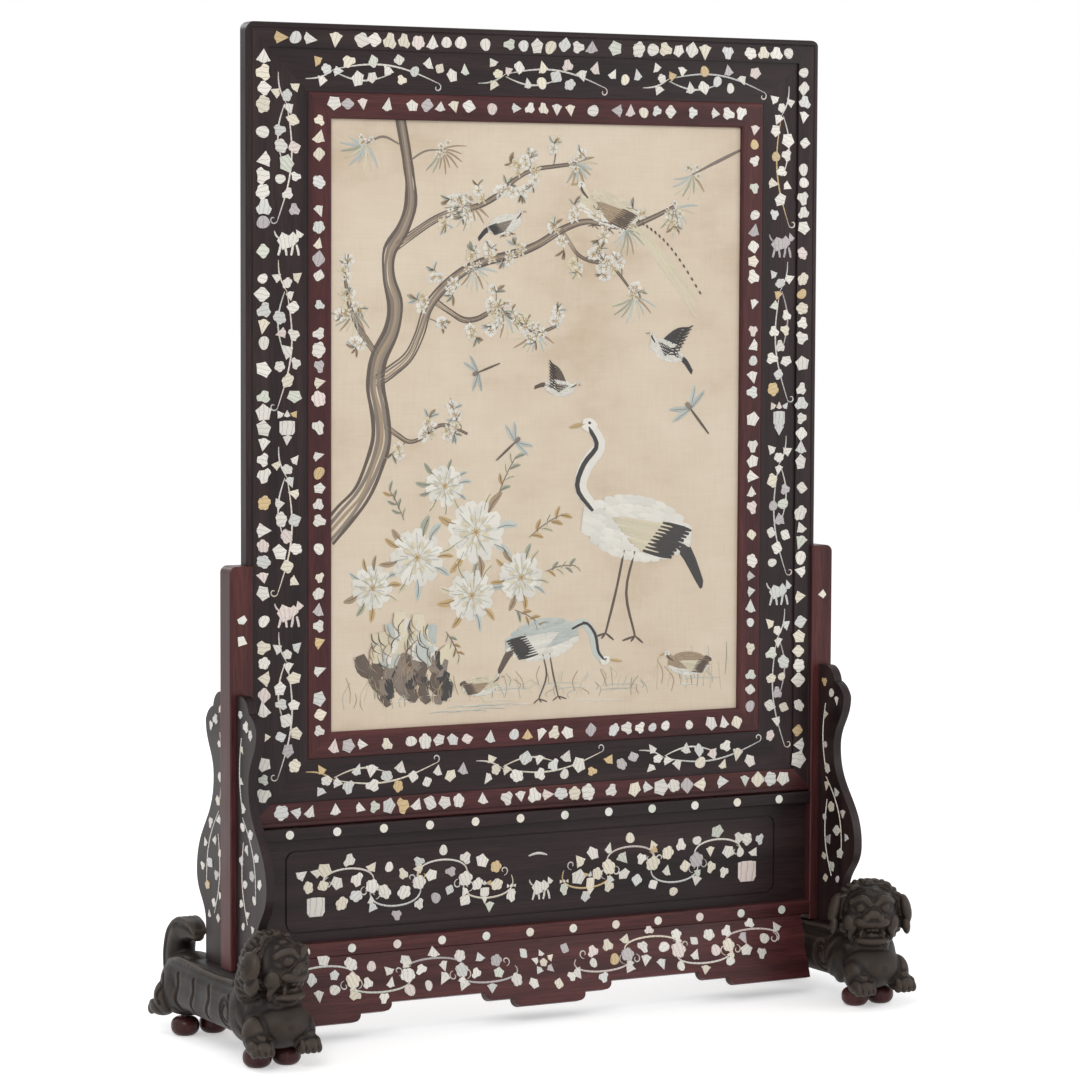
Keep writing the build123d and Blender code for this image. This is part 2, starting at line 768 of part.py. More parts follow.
save(band_inlay(-half_thickness, (bead_width + outer_band) / 2, outer_chip, outer_chip_pitch), "inlay_outer")
save(band_inlay(-half_thickness + sight_setback, middle_edge + sight_band / 2, sight_chip, sight_chip_pitch),
     "inlay_sight")


def vine(place, start, end, rise, lobes):
    """A strip that swings to both sides of a line; place turns (along, across) into a sketch point."""
    step = (end - start) / lobes
    with BuildLine() as run:
        for i in range(lobes):
            a = start + i * step
            swing = rise if i % 2 == 0 else -rise
            ThreePointArc(place(a, 0), place(a + step / 2, swing), place(a + step, 0))
    trace(run.line.edges(), line_width=vine_width)


def vine_leaves(place, start, end, rise, lobes, size):
    """Leaves in the hollow of each swing and one beyond the line."""
    step = (end - start) / lobes
    for i in range(lobes):
        middle = start + (i + 0.5) * step
        swing = rise if i % 2 == 0 else -rise
        chip(*place(middle - 0.16 * step, 0.15 * swing), size, i)
        chip(*place(middle + 0.2 * step, 0.1 * swing), size, i + 1)
        chip(*place(middle, -0.8 * swing), size, i + 2)


def line_places(side):
    """Maps (along, across) on the middle band's centre line to a point, and half the usable length."""
    line = outer_band + middle_band / 2
    if side in ("top", "bottom"):
        z = screen_top - line if side == "top" else seat_height + line
        return (lambda along, across: (along, z + across)), half_width - middle_edge
    x = -half_width + line if side == "left" else half_width - line
    return (lambda along, across: (x + across, screen_middle + along)), half_height - middle_edge


with BuildPart() as middle_inlay:
    with BuildSketch(front_plane(-half_thickness + middle_setback)):
        for side in ("top", "bottom", "left", "right"):
            place, reach = line_places(side)
            motifs = round(2 * reach / vine_motif_pitch)
            pitch = 2 * reach / motifs
            for i in range(motifs):
                middle = -reach + (i + 0.5) * pitch
                half_motif = pitch / 2 - vine_motif_gap
                vine(place, middle - half_motif, middle + half_motif, vine_rise, 2)
                vine_leaves(place, middle - half_motif, middle + half_motif, vine_rise, 2, leaf_chip)
                if i > 0:
                    for k in (-1, 0, 1):
                        spot = place(middle - pitch / 2 + k * leaf_chip, leaf_chip / 2 * (k % 2))
                        chip(*spot, leaf_chip, i + k)
    extrude(amount=chip_rise)
save(middle_inlay.part, "inlay_middle")

with BuildPart() as panel_inlay:
    with BuildSketch(front_plane(panel_front)):
        for hand in (-1, 1):
            start = field_width / 2 - pot_margin
            inner = start - pot_width / 2
            with Locations((hand * start, field_low + pot_margin / 2)):
                Rectangle(pot_width, pot_height)
            place = (lambda along, across, hand=hand: (hand * along, field_middle + across))
            vine(place, inner, vine_center_gap, panel_vine_rise, panel_lobes)
            vine_leaves(place, inner, vine_center_gap, panel_vine_rise, panel_lobes, leaf_chip)
        for k in (-1, 0, 1):
            chip(k * leaf_chip, field_middle, leaf_chip, k)
    extrude(amount=chip_rise)
save(panel_inlay.part, "inlay_panel")

with BuildPart() as apron_inlay:
    with BuildSketch(apron_plane):
        middle = on_apron((lower_rail_base + apron_high) / 2)
        outer = apron_half_length - vine_end_gap
        for hand in (-1, 1):
            place = (lambda along, across, hand=hand: (hand * along, middle + across))
            vine(place, outer, vine_center_gap, apron_vine_rise, apron_lobes)
            vine_leaves(place, outer, vine_center_gap, apron_vine_rise, apron_lobes, leaf_chip)
        for k in (-1, 0, 1):
            chip(k * leaf_chip, middle + leaf_chip * (k % 2), leaf_chip, k)
    extrude(amount=chip_rise)
save(apron_inlay.part, "inlay_apron")


def spandrel_chips():
    """Places on a spandrel's face: one column, and a second one over the wide belly."""
    places = []
    count = int((spandrel_lobe_z - spandrel_foot_z) // (2 * spandrel_chip))
    for i in range(count):
        z = spandrel_foot_z + 2 * spandrel_chip * (i + 0.8)
        places.append((post_face + spandrel_chip, z))
        if abs(z - spandrel_belly_z) < spandrel_belly_z - spandrel_foot_z:
            places.append((spandrel_waist_y + spandrel_chip, z))
    return places


with BuildPart() as spandrel_inlay:
    for side in side_names:
        for face in (-1, 1):
            x = side * spandrel_x + face * spandrel_thickness / 2
            with BuildSketch(Plane.YZ.offset(x)):
                for end in end_names:
                    for i, (y, z) in enumerate(spandrel_chips()):
                        chip(end * y, z, spandrel_chip, i)
            extrude(amount=face * chip_rise)
save(spandrel_inlay.part, "inlay_spandrels")

with BuildPart() as post_inlay:
    with BuildSketch(front_plane(-post_face)):
        for i, (hand, drop) in enumerate(((-1, post_chip_drop), (-1, second_chip_drop), (1, post_chip_drop))):
            chip(hand * post_center, post_top - drop, leaf_chip, i)
    extrude(amount=chip_rise)
save(post_inlay.part, "inlay_posts")
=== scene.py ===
# %% [markdown]
# A table screen: a framed silk embroidery that lifts out of two grooved posts on a carved stand.
# The construction is loaded as a fixed frame; this script gives it its finishes, the cut pearl inlay,
# the carved lions and the stitched picture, all in metres in the same frame.

# %% Load the construction
import bpy
import bmesh
import json
import random
from math import atan2, cos, hypot, pi, radians, sin
from mathutils import Matrix, Vector, noise


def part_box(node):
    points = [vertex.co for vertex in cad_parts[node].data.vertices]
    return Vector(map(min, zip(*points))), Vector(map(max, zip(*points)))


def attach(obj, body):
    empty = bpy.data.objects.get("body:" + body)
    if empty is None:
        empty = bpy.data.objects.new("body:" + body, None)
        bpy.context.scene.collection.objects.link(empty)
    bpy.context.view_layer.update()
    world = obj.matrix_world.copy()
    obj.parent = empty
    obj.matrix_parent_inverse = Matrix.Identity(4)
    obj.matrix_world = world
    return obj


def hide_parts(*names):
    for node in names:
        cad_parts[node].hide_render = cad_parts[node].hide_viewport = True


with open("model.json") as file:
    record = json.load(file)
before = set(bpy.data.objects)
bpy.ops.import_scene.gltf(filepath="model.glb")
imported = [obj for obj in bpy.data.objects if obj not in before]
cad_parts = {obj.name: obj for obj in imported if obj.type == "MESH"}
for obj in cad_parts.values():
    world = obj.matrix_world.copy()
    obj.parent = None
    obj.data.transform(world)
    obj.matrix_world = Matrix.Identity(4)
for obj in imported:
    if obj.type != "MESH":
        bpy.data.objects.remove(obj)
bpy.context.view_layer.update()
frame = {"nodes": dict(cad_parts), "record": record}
nodes = frame["nodes"]

# %% [markdown]
# The camera stands a little left of the screen, level with its upper half, far away with a long lens,
# so that the uprights stay nearly parallel. Its turn is three plain turns: about the upright, down, and a
# slight lean of the camera itself.

# %% Camera
scene = bpy.context.scene


def add_object(name, data):
    obj = bpy.data.objects.new(name, data)
    scene.collection.objects.link(obj)
    return obj


lens_mm = 130.1
camera_place = (-1.59442, -2.94782, 0.65841)
camera_turn = radians(28.4376)
camera_dip = radians(4.1524)
camera_lean = radians(0.2315)
camera_data = bpy.data.cameras.new("camera")
camera_data.lens = lens_mm
camera_data.sensor_width = 36.0
camera_data.clip_end = 60.0
camera = add_object("camera", camera_data)
camera.matrix_world = (Matrix.Translation(camera_place) @ Matrix.Rotation(-camera_turn, 4, "Z")
                       @ Matrix.Rotation(pi / 2 - camera_dip, 4, "X") @ Matrix.Rotation(camera_lean, 4, "Z"))
scene.camera = camera
print("camera lens", lens_mm, "mm")

# %% [markdown]
# Dark polished wood is judged by what it mirrors, so the room is large and soft: one broad lamp from the
# left front, a weaker one from the right, and a pale surround. The surround and the floor are
# plain white where the camera, a gloss or a glass looks at them, and a calmer grey for the light they give.

# %% Lights, surround and floor
scene.view_settings.view_transform = "Standard"
surround_grey = 0.62
floor_grey = 0.7
floor_glow = 0.42
floor_radius = 7.0
bright = (1, 1, 1, 1)


def feed(tree, node, inputs):
    """Give each input of a node its value, or link it to the output that drives it."""
    for socket, value in inputs.items():
        if isinstance(value, bpy.types.NodeSocket):
            tree.links.new(value, node.inputs[socket])
        else:
            node.inputs[socket].default_value = value


def add_node(tree, kind, inputs=None, **settings):
    """Add a node with its settings and inputs; the answer is its outputs."""
    node = tree.nodes.new("ShaderNode" + kind)
    for name, value in settings.items():
        setattr(node, name, value)
    feed(tree, node, inputs or {})
    return node.outputs


def seen_directly(tree):
    """1 where the camera, a reflection or a transmission looks, 0 for diffuse light."""
    path = add_node(tree, "LightPath")
    first = add_node(tree, "Math", {0: path["Is Camera Ray"], 1: path["Is Transmission Ray"]},
                     operation="MAXIMUM")
    return add_node(tree, "Math", {0: first[0], 1: path["Is Glossy Ray"]}, operation="MAXIMUM")[0]


def grey_or_white(tree, grey):
    return add_node(tree, "Mix", {"Factor": seen_directly(tree), 6: (grey, grey, grey, 1), 7: bright},
                    data_type="RGBA")[2]


world = bpy.data.worlds.new("surround")
world.use_nodes = True
world_tree = world.node_tree
feed(world_tree, world_tree.nodes["Background"], {"Color": grey_or_white(world_tree, surround_grey)})
scene.world = world


def lamp(name, place, target, size, power):
    data = bpy.data.lights.new(name, "AREA")
    data.shape = "DISK"
    data.size = size
    data.energy = power
    obj = add_object(name, data)
    obj.location = place
    obj.rotation_euler = (Vector(target) - Vector(place)).to_track_quat("-Z", "Y").to_euler()


middle = Vector((0, 0, 0.42))
lamp("key", (-2.0, -2.6, 2.4), middle, 1.6, 42)
lamp("fill", (2.4, -2.2, 1.2), middle, 1.8, 16)
lamp("back", (-0.8, 2.6, 2.2), middle, 1.4, 16)

floor_material = bpy.data.materials.new("pale_floor")
floor_material.use_nodes = True
floor_tree = floor_material.node_tree
glow = add_node(floor_tree, "Math", {0: seen_directly(floor_tree), 1: floor_glow}, operation="MULTIPLY")
feed(floor_tree, floor_tree.nodes["Principled BSDF"],
     {"Base Color": grey_or_white(floor_tree, floor_grey), "Roughness": 0.9, "Emission Color": bright,
      "Emission Strength": glow[0]})
floor_mesh = bpy.data.meshes.new("floor")
bm = bmesh.new()
bmesh.ops.create_circle(bm, cap_ends=True, segments=96, radius=floor_radius)
bm.to_mesh(floor_mesh)
bm.free()
floor_mesh.materials.append(floor_material)
floor = add_object("floor", floor_mesh)

# %% [markdown]
# Two hardwoods are seen: a near-black wood for the outside frame, the middle band, the panel, the side
# plates and the lions, and a red-brown rosewood for the inner frame, the posts, the lower rail and the
# aprons. A plain pale wood is behind the silk. All are one recipe of long stretched noise: broad colour
# bands, fine pores, and a little unevenness in the polish. The grain runs along each board, so each wood
# is made once for every direction of grain.

# %% Wood
along_axis = {"x": 0, "y": 1, "z": 2}


def new_material(name):
    material = bpy.data.materials.new(name)
    material.use_nodes = True
    tree = material.node_tree
    return material, tree, tree.nodes["Principled BSDF"]


def object_noise(tree, scale, detail, rough, stretch=(1, 1, 1)):
    """Noise on the piece's own place in metres; scale is waves per metre across the stretch."""
    place = add_node(tree, "TexCoord")["Object"]
    place = add_node(tree, "Mapping", {"Vector": place, "Scale": stretch})["Vector"]
    return add_node(tree, "TexNoise", {"Vector": place, "Scale": scale, "Detail": detail,
                                       "Roughness": rough})["Fac"]


def ramp(tree, source, stops):
    node = tree.nodes.new("ShaderNodeValToRGB")
    feed(tree, node, {"Fac": source})
    elements = node.color_ramp.elements
    while len(elements) < len(stops):
        elements.new(0.5)
    for element, (position, colour) in zip(elements, stops):
        element.position = position
        element.color = (*colour, 1)
    return node.outputs["Color"]


def uneven(tree, source, low, high):
    """A value from low to high that follows the middle range of a noise."""
    return add_node(tree, "MapRange", {"Value": source, "From Min": 0.3, "From Max": 0.7, "To Min": low,
                                       "To Max": high})["Result"]


def multiply(tree, colour, factor, amount):
    return add_node(tree, "Mix", {"Factor": amount, 6: colour, 7: factor},
                    data_type="RGBA", blend_type="MULTIPLY")[2]


def bump(tree, shader, height, strength, distance):
    made = add_node(tree, "Bump", {"Height": height, "Strength": strength, "Distance": distance})
    feed(tree, shader, {"Normal": made["Normal"]})


def wood(name, axis, deep, body, light, polish=(0.3, 0.5), band_scale=60, pore_scale=900, pore_bump=0.12):
    """Polished hardwood; axis is the direction that the grain runs in."""
    material, tree, shader = new_material(name + "_" + axis)
    stretch = [1.0, 1.0, 1.0]
    stretch[along_axis[axis]] = 0.05
    bands = object_noise(tree, band_scale, 6, 0.6, stretch)
    pores = object_noise(tree, pore_scale, 3, 0.55, stretch)
    patches = object_noise(tree, 9, 3, 0.5)
    colour = ramp(tree, bands, ((0.3, deep), (0.5, body), (0.7, light)))
    colour = multiply(tree, colour, ramp(tree, pores, ((0.35, (0.45, 0.42, 0.4)), (0.55, (1, 1, 1)))), 0.7)
    colour = multiply(tree, colour, ramp(tree, patches, ((0.3, (0.7, 0.68, 0.66)), (0.65, (1, 1, 1)))), 0.8)
    feed(tree, shader, {"Base Color": colour, "Roughness": uneven(tree, patches, *polish),
                        "Specular IOR Level": 0.24})
    bump(tree, shader, pores, pore_bump, 0.0004)
    return material


dark_tones = ((0.013, 0.007, 0.008), (0.027, 0.014, 0.015), (0.046, 0.026, 0.026))
red_tones = ((0.042, 0.012, 0.013), (0.082, 0.022, 0.023), (0.125, 0.037, 0.035))
plain_tones = ((0.24, 0.15, 0.09), (0.36, 0.24, 0.15), (0.46, 0.33, 0.21))
dark_wood = {axis: wood("dark_wood", axis, *dark_tones) for axis in along_axis}
rosewood = {axis: wood("rosewood", axis, *red_tones, polish=(0.26, 0.45)) for axis in along_axis}
plain_wood = {axis: wood("plain_wood", axis, *plain_tones, polish=(0.6, 0.8)) for axis in along_axis}
print("woods:", len(dark_wood) + len(rosewood) + len(plain_wood))

# %% [markdown]
# Every board of the construction keeps its shape and gets its wood, with the grain along its length:
# along X for the level pieces and along Z for the uprights and the side plates.

# %% Dress the boards
wood_of_slot = {"dark_wood": dark_wood, "rosewood": rosewood, "plain_wood": plain_wood}
slot_of_node = {part["node"]: part["material_slot"] for part in frame["record"]["subparts"]}


def longest_axis(name):
    low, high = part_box(name)
    sizes = high - low
    return "xyz"[max(range(3), key=lambda i: sizes[i])]


def dress(name, material):
    nodes[name].data.materials.clear()
    nodes[name].data.materials.append(material)


for name, slot in slot_of_node.items():
    if slot in wood_of_slot:
        dress(name, wood_of_slot[slot][longest_axis(name)])
print("boards dressed:", sum(slot in wood_of_slot for slot in slot_of_node.values()))

# %% [markdown]
# Mother-of-pearl is cut from shell, so no two leaves have the same colour: most are white or cream, some lean
# to pink, green or grey, and a few are honey brown. Each leaf carries its own tint as a vertex colour, and
# the shell's layers are fine streaks over it, on a smooth lacquer-like coat with engraved veins.

# %% Mother-of-pearl
mm = 0.001


def attribute(tree, name):
    return add_node(tree, "Attribute", attribute_name=name)


def pearl_material(name, tint_of, engraved):
    material, tree, shader = new_material(name)
    tint = tint_of(tree)
    layers = ramp(tree, object_noise(tree, 420, 4, 0.7, (1, 1, 2.2)),
                  ((0.3, (0.5, 0.47, 0.47)), (0.43, (0.94, 0.97, 0.92)), (0.56, (1, 0.96, 0.95)),
                   (0.7, (0.68, 0.74, 0.75))))
    colour = multiply(tree, tint, layers, 0.85)
    if engraved:
        uv = add_node(tree, "UVMap")["UV"]
        veins = add_node(tree, "TexWave", {"Vector": uv, "Scale": 0.6, "Distortion": 4.0})["Fac"]
        cut = ramp(tree, veins, ((0.0, (0.25, 0.23, 0.22)), (0.1, (1, 1, 1))))
        colour = multiply(tree, colour, cut, 0.5)
        bump(tree, shader, veins, 0.25, 0.0002)
    feed(tree, shader, {"Base Color": colour, "Roughness": 0.28, "Coat Weight": 0.35, "Coat Roughness": 0.12})
    return material


def leaf_tint(tree):
    return attribute(tree, "tint")["Color"]


def place_tint(tree):
    """Tint of a chip that has none of its own: it changes slowly with the place."""
    return ramp(tree, object_noise(tree, 26, 1, 0.5),
                ((0.34, (0.74, 0.78, 0.68)), (0.44, (0.9, 0.89, 0.85)), (0.56, (0.9, 0.85, 0.72)),
                 (0.66, (0.84, 0.73, 0.7))))


pearl = pearl_material("pearl", leaf_tint, True)
plain_pearl = pearl_material("pearl_chips", place_tint, False)
pearl_tints = (
    ((0.90, 0.86, 0.80), 14), ((0.78, 0.78, 0.76), 5), ((0.90, 0.82, 0.68), 5), ((0.86, 0.74, 0.70), 2),
    ((0.76, 0.79, 0.69), 1), ((0.58, 0.53, 0.54), 1), ((0.74, 0.54, 0.28), 1),
)
dice = random.Random(11)


def shell_tint():
    tint = dice.choices([t for t, _ in pearl_tints], [w for _, w in pearl_tints])[0]
    shade = dice.uniform(0.86, 1.04)
    return tuple(min(1.0, c * shade) for c in tint) + (1.0,)


def brass_material():
    material, tree, shader = new_material("brass")
    tone = ramp(tree, object_noise(tree, 300, 3, 0.6),
                ((0.35, (0.30, 0.20, 0.10)), (0.6, (0.62, 0.45, 0.22))))
    feed(tree, shader, {"Base Color": tone, "Metallic": 1.0, "Roughness": 0.38})
    bump(tree, shader, object_noise(tree, 900, 2, 0.5), 0.1, 0.0001)
    return material


brass = brass_material()
for name, slot in slot_of_node.items():
    if slot in ("pearl", "brass"):
        dress(name, plain_pearl if slot == "pearl" else brass)
print("shell tints:", len(pearl_tints))

# %% [markdown]
# A cut leaf starts as a filled circle whose rim is pulled to an outline given as a radius for each angle:
# fan, kite, shield, lobed leaf, flower, drop, box. The face is extruded to the shell's thickness and inset
# with a small rise, which leaves the bevel that a fret saw and a file give. Each blank is made once and
# copied with a place, a size, a turn and a tint, so hundreds of leaves stay light.

# %% Shell blanks
blank_sides = 15
leaf_rise = 0.5 * mm


def facet(a, corners, bite=0.0, start=pi / 2):
    """Outline with straight sides between corners; bite hollows the middle of each side."""
    step = 2 * pi / corners
    local = (a - start + step / 2) % step - step / 2
    turned = local - step / 2 if local > 0 else local + step / 2
    return cos(step / 2) / cos(turned) * (1 - bite * (1 - cos(local * 2)))


def rim_fan(a):
    return 0.92 * facet(a, 3) + 0.32 * max(0.0, -sin(a)) ** 3


def rim_kite(a):
    return 0.98 * facet(a, 4) * (1.12 if sin(a) > 0 else 0.92)


def rim_shield(a):
    return 1.0 * facet(a, 5, 0.1)


def rim_lobed(a):
    return 0.78 + 0.16 * cos(3 * a + pi / 2) + 0.07 * cos(6 * a)


def rim_flower(a):
    return 0.86 + 0.10 * cos(5 * a + pi / 2)


def rim_drop(a):
    return 0.66 + 0.30 * max(0.0, sin(a)) ** 3 + 0.06 * cos(2 * a)


def rim_box(a):
    return min(1.15, 0.8 / max(abs(cos(a)), abs(sin(a))))


def make_blank(rim):
    bm = bmesh.new()
    bmesh.ops.create_circle(bm, cap_ends=True, segments=blank_sides, radius=1.0)
    for v in bm.verts:
        v.co *= rim(atan2(v.co.y, v.co.x))
    faces = bmesh.ops.extrude_face_region(bm, geom=bm.faces[:])["geom"]
    raised = [g for g in faces if isinstance(g, bmesh.types.BMVert)]
    bmesh.ops.translate(bm, verts=raised, vec=(0, 0, 1))
    bmesh.ops.recalc_face_normals(bm, faces=bm.faces)
    top = [f for f in bm.faces if f.normal.z > 0.9]
    bmesh.ops.inset_region(bm, faces=top, thickness=0.09, depth=0.3)
    mesh = bpy.data.meshes.new("blank")
    bm.to_mesh(mesh)
    bm.free()
    return mesh


blanks = {rim.__name__[4:]: make_blank(rim) for rim in
          (rim_fan, rim_kite, rim_shield, rim_lobed, rim_flower, rim_drop, rim_box)}
leaf_kinds = ("fan", "fan", "kite", "shield", "lobed", "lobed", "drop", "flower")
print("blanks:", sorted(blanks), "faces each:", len(blanks["fan"].polygons))


def start_piece():
    bm = bmesh.new()
    bm.verts.layers.float_color.new("tint")
    bm.loops.layers.uv.new("UVMap")
    return bm


scrap = bpy.data.meshes.new("scrap")


def add_work(bm, work):
    """Put a small finished work into the piece."""
    work.to_mesh(scrap)
    work.free()
    bm.from_mesh(scrap)


def finish_piece(bm, name, material, body, replaced=(), smooth=False):
    """Turn the work into an object that rides on a body and stands for the nodes it replaces."""
    mesh = bpy.data.meshes.new(name)
    for face in bm.faces:
        face.smooth = smooth
    bm.to_mesh(mesh)
    bm.free()
    mesh.materials.append(material)
    obj = add_object(name, mesh)
    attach(obj, body)
    if replaced:
        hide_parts(*replaced)
    print(name, "faces:", len(mesh.polygons))
    return obj


def mark(bm, verts, tint):
    layer = bm.verts.layers.float_color["tint"]
    for v in verts:
        v[layer] = tint


def add_leaf(bm, board, x, y, size, turn=0.0, kind=None, tint=None):
    """One shell leaf on a board; board is a matrix whose X and Y lie in the face and Z points out."""
    work = start_piece()
    work.from_mesh(blanks[kind or dice.choice(leaf_kinds)])
    uv = work.loops.layers.uv.active
    for v in work.verts:
        for loop in v.link_loops:
            loop[uv].uv = (v.co.x, v.co.y)
    radius = size / 2
    shape = Matrix.Translation((x, y, -leaf_rise * 0.2)) @ Matrix.Rotation(turn, 4, "Z")
    if size < 15 * mm:
        shape = shape @ Matrix.Shear("XZ", 4, (dice.uniform(-0.22, 0.22), 0))
    wide, tall = dice.uniform(0.85, 1.1), dice.uniform(0.85, 1.1)
    shape = shape @ Matrix.Diagonal((radius * wide, radius * tall, leaf_rise, 1))
    shape = shape @ Matrix.Diagonal((1, 1, dice.uniform(0.8, 1.3), 1))
    bmesh.ops.transform(work, matrix=board @ shape, verts=work.verts)
    mark(work, work.verts, tint or shell_tint())
    add_work(bm, work)


def add_strip(bm, board, path, width, steps=16, tint=None, rise=leaf_rise, taper=0.35, across=2):
    """A low rounded band that follows path(t), t from 0 to 1; its rims lie just under the face."""
    work = start_piece()
    made = bmesh.ops.create_grid(work, x_segments=steps, y_segments=across, size=1.0)["verts"]
    uv = work.loops.layers.uv.active
    for v in made:
        for loop in v.link_loops:
            loop[uv].uv = (v.co.x * steps / 4, v.co.y)
    for v in made:
        t = (v.co.x + 1) / 2
        here = Vector(path(t))
        ahead = Vector(path(min(1.0, t + 0.01))) - Vector(path(max(0.0, t - 0.01)))
        normal = Vector((-ahead.y, ahead.x)).normalized()
        half = width / 2 * (taper + (1 - taper) * sin(pi * min(1.0, max(0.0, 0.08 + 0.84 * t))))
        side = v.co.y
        spot = here + normal * (half * side)
        v.co = Vector((spot.x, spot.y, rise * (1 - 1.2 * side * side)))
    bmesh.ops.transform(work, matrix=board, verts=made)
    mark(work, made, tint or shell_tint())
    add_work(bm, work)


def face_board(x, y, z, turn=0.0):
    """Board on an upright front face: X to the right, Y up, Z towards the viewer; turn is about the face."""
    facing = Matrix(((1, 0, 0, x), (0, 0, -1, y), (0, 1, 0, z), (0, 0, 0, 1)))
    return facing @ Matrix.Rotation(turn, 4, "Z")


def side_board(x, normal):
    """Board on an upright side face at that X; X of the board runs along Y, Y of the board runs up."""
    return Matrix(((0, 0, normal, x), (normal, 0, 0, 0), (0, 1, 0, 0), (0, 0, 0, 1)))

# %% [markdown]
# The narrow bands carry leaves in groups, such as three, one, five, one, with a clear space between groups.
# The groups are spread over the length of the band, so both ends match.

# %% Leaf rows
outer_low, outer_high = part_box("frame_outer_bottom")[0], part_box("frame_outer_top")[1]
band_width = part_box("frame_outer_left")[1].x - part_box("frame_outer_left")[0].x
middle_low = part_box("frame_middle_left")[0]
middle_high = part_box("frame_middle_right")[1]
sight_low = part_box("frame_sight_left")[0]
sight_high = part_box("frame_sight_right")[1]
bead = 4.8 * mm


def grouped_places(length, groups, gap=0.75):
    """Centres of leaves along a band of that length; a gap between groups is that many leaves wide."""
    slots = sum(groups) - 1 + gap * (len(groups) - 1)
    pitch = length / slots
    places = []
    at = -length / 2
    for size in groups:
        for i in range(size):
            places.append(at)
            at += pitch
        at += gap * pitch
    return places


def leaf_row(bm, board, length, groups, size):
    for i, at in enumerate(grouped_places(length, groups)):
        turn = dice.choice((0, pi / 2, pi, -pi / 2)) + dice.uniform(-0.3, 0.3)
        add_leaf(bm, board, at, dice.uniform(-0.6, 0.6) * mm, size * dice.uniform(0.85, 1.1), turn)


def leaf_frame(name, node, face, low, high, groups_across, groups_up, size, inset):
    """Rows on the four sides of a frame whose leaf line runs round the box low to high."""
    bm = start_piece()
    width = high.x - low.x
    height = high.z - low.z
    center = (low.z + high.z) / 2
    for z in (low.z, high.z):
        leaf_row(bm, face_board(0, face, z), width - 2 * inset, groups_across, size)
    for x in (low.x, high.x):
        leaf_row(bm, face_board(x, face, center, pi / 2), height - 2 * inset, groups_up, size)
    return finish_piece(bm, name, pearl, "screen", [node])


def shrink(low, high, reach):
    return low + Vector((reach, 0, reach)), high - Vector((reach, 0, reach))


outer_line = (bead + band_width) / 2
outer_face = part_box("frame_outer_top")[0].y
sight_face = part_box("frame_sight_top")[0].y
sight_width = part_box("frame_sight_left")[1].x - sight_low.x
leaf_frame("pearl_outer_rows", "inlay_outer", outer_face, *shrink(outer_low, outer_high, outer_line),
           (3, 1, 8, 1, 7, 1, 6, 1, 4), (3, 1, 5, 1, 5, 1, 6, 1, 5, 1, 5, 1, 4), 14.5 * mm, 16 * mm)
sight_box_low = Vector((sight_low.x, 0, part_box("frame_sight_bottom")[0].z))
sight_box_high = Vector((sight_high.x, 0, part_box("frame_sight_top")[1].z))
leaf_frame("pearl_sight_rows", "inlay_sight", sight_face,
           *shrink(sight_box_low, sight_box_high, sight_width * 0.52),
           (3, 1, 5, 1, 5, 1, 5, 1, 3), (3, 1, 5, 1, 5, 1, 5, 1, 5, 1, 3), 13 * mm, 14 * mm)

# %% [markdown]
# The wide bands carry grape vines. One motif is a flower with a main stem that arches over the band and
# a second stem that swings under it, with leaves in the hollows and small hooked tendrils.

# %% Vine motifs
stem_width = 1.8 * mm


def arc_path(x0, y0, x1, y1, bulge):
    """A smooth bow from one point to another that stands off by bulge at its middle."""
    def path(t):
        lift = bulge * sin(pi * t)
        length = hypot(x1 - x0, y1 - y0)
        nx, ny = -(y1 - y0) / length, (x1 - x0) / length
        return (x0 + (x1 - x0) * t + nx * lift, y0 + (y1 - y0) * t + ny * lift)
    return path


def hook_path(x, y, radius, start, turns):
    """A tendril: a spiral that closes as it turns."""
    def path(t):
        angle = start + turns * 2 * pi * t
        reach = radius * (1 - 0.7 * t)
        return (x + reach * cos(angle) - radius * cos(start), y + reach * sin(angle) - radius * sin(start))
    return path


def add_flower(bm, board, x, y, size, petals=4, start=0.0):
    add_leaf(bm, board, x, y, size * 0.8, start, "flower")
    reach = size * 0.85
    for i in range(petals):
        angle = start + 2 * pi * i / petals + dice.uniform(-0.25, 0.25)
        place = (x + reach * cos(angle), y + reach * sin(angle))
        add_leaf(bm, board, *place, reach, angle - pi / 2, "fan")


def add_stem(bm, board, path, thick=1.0, steps=14):
    add_strip(bm, board, path, stem_width * thick, steps)


def vine_motif(bm, board, length, rise, flip=1):
    """One arching spray, its flower at the low end of X; flip mirrors it across the band."""
    left = -length / 2
    knot = left + 0.2 * length
    leaf = 13.5 * mm
    add_flower(bm, board, knot - 0.06 * length, 0, leaf * 0.95, 3, 2.2 * flip)
    dip = 0.75 * rise * flip
    near = -0.3 * rise * flip
    add_stem(bm, board, arc_path(knot, 0, length / 2, -dip, dip), 1.0, 22)
    add_stem(bm, board, hook_path(length / 2, -dip, 4 * mm, pi / 2 * flip, -0.85 * flip), 0.8)
    add_stem(bm, board, arc_path(knot, 0, left - 0.02 * length, -0.7 * rise * flip, 2.5 * mm * flip), 0.9, 10)
    add_stem(bm, board, arc_path(knot, -2 * mm * flip, 0.12 * length, near, -0.5 * rise * flip))
    add_stem(bm, board, hook_path(0.12 * length, near, 3 * mm, -pi / 2 * flip, 0.8 * flip), 0.9, 12)
    for t, off, turn in ((0.31, 0.55, 2.9), (0.38, -0.62, 0.2), (0.49, -0.5, 3.3), (0.5, 0.55, 0.4),
                         (0.61, -0.05, 2.6), (0.7, 0.72, 0.2), (0.72, -0.62, 0.4), (0.82, 0.05, 3.4),
                         (0.93, 0.6, -0.4)):
        add_leaf(bm, board, left + t * length, off * rise * flip, leaf * dice.uniform(0.8, 1.05), turn * flip)


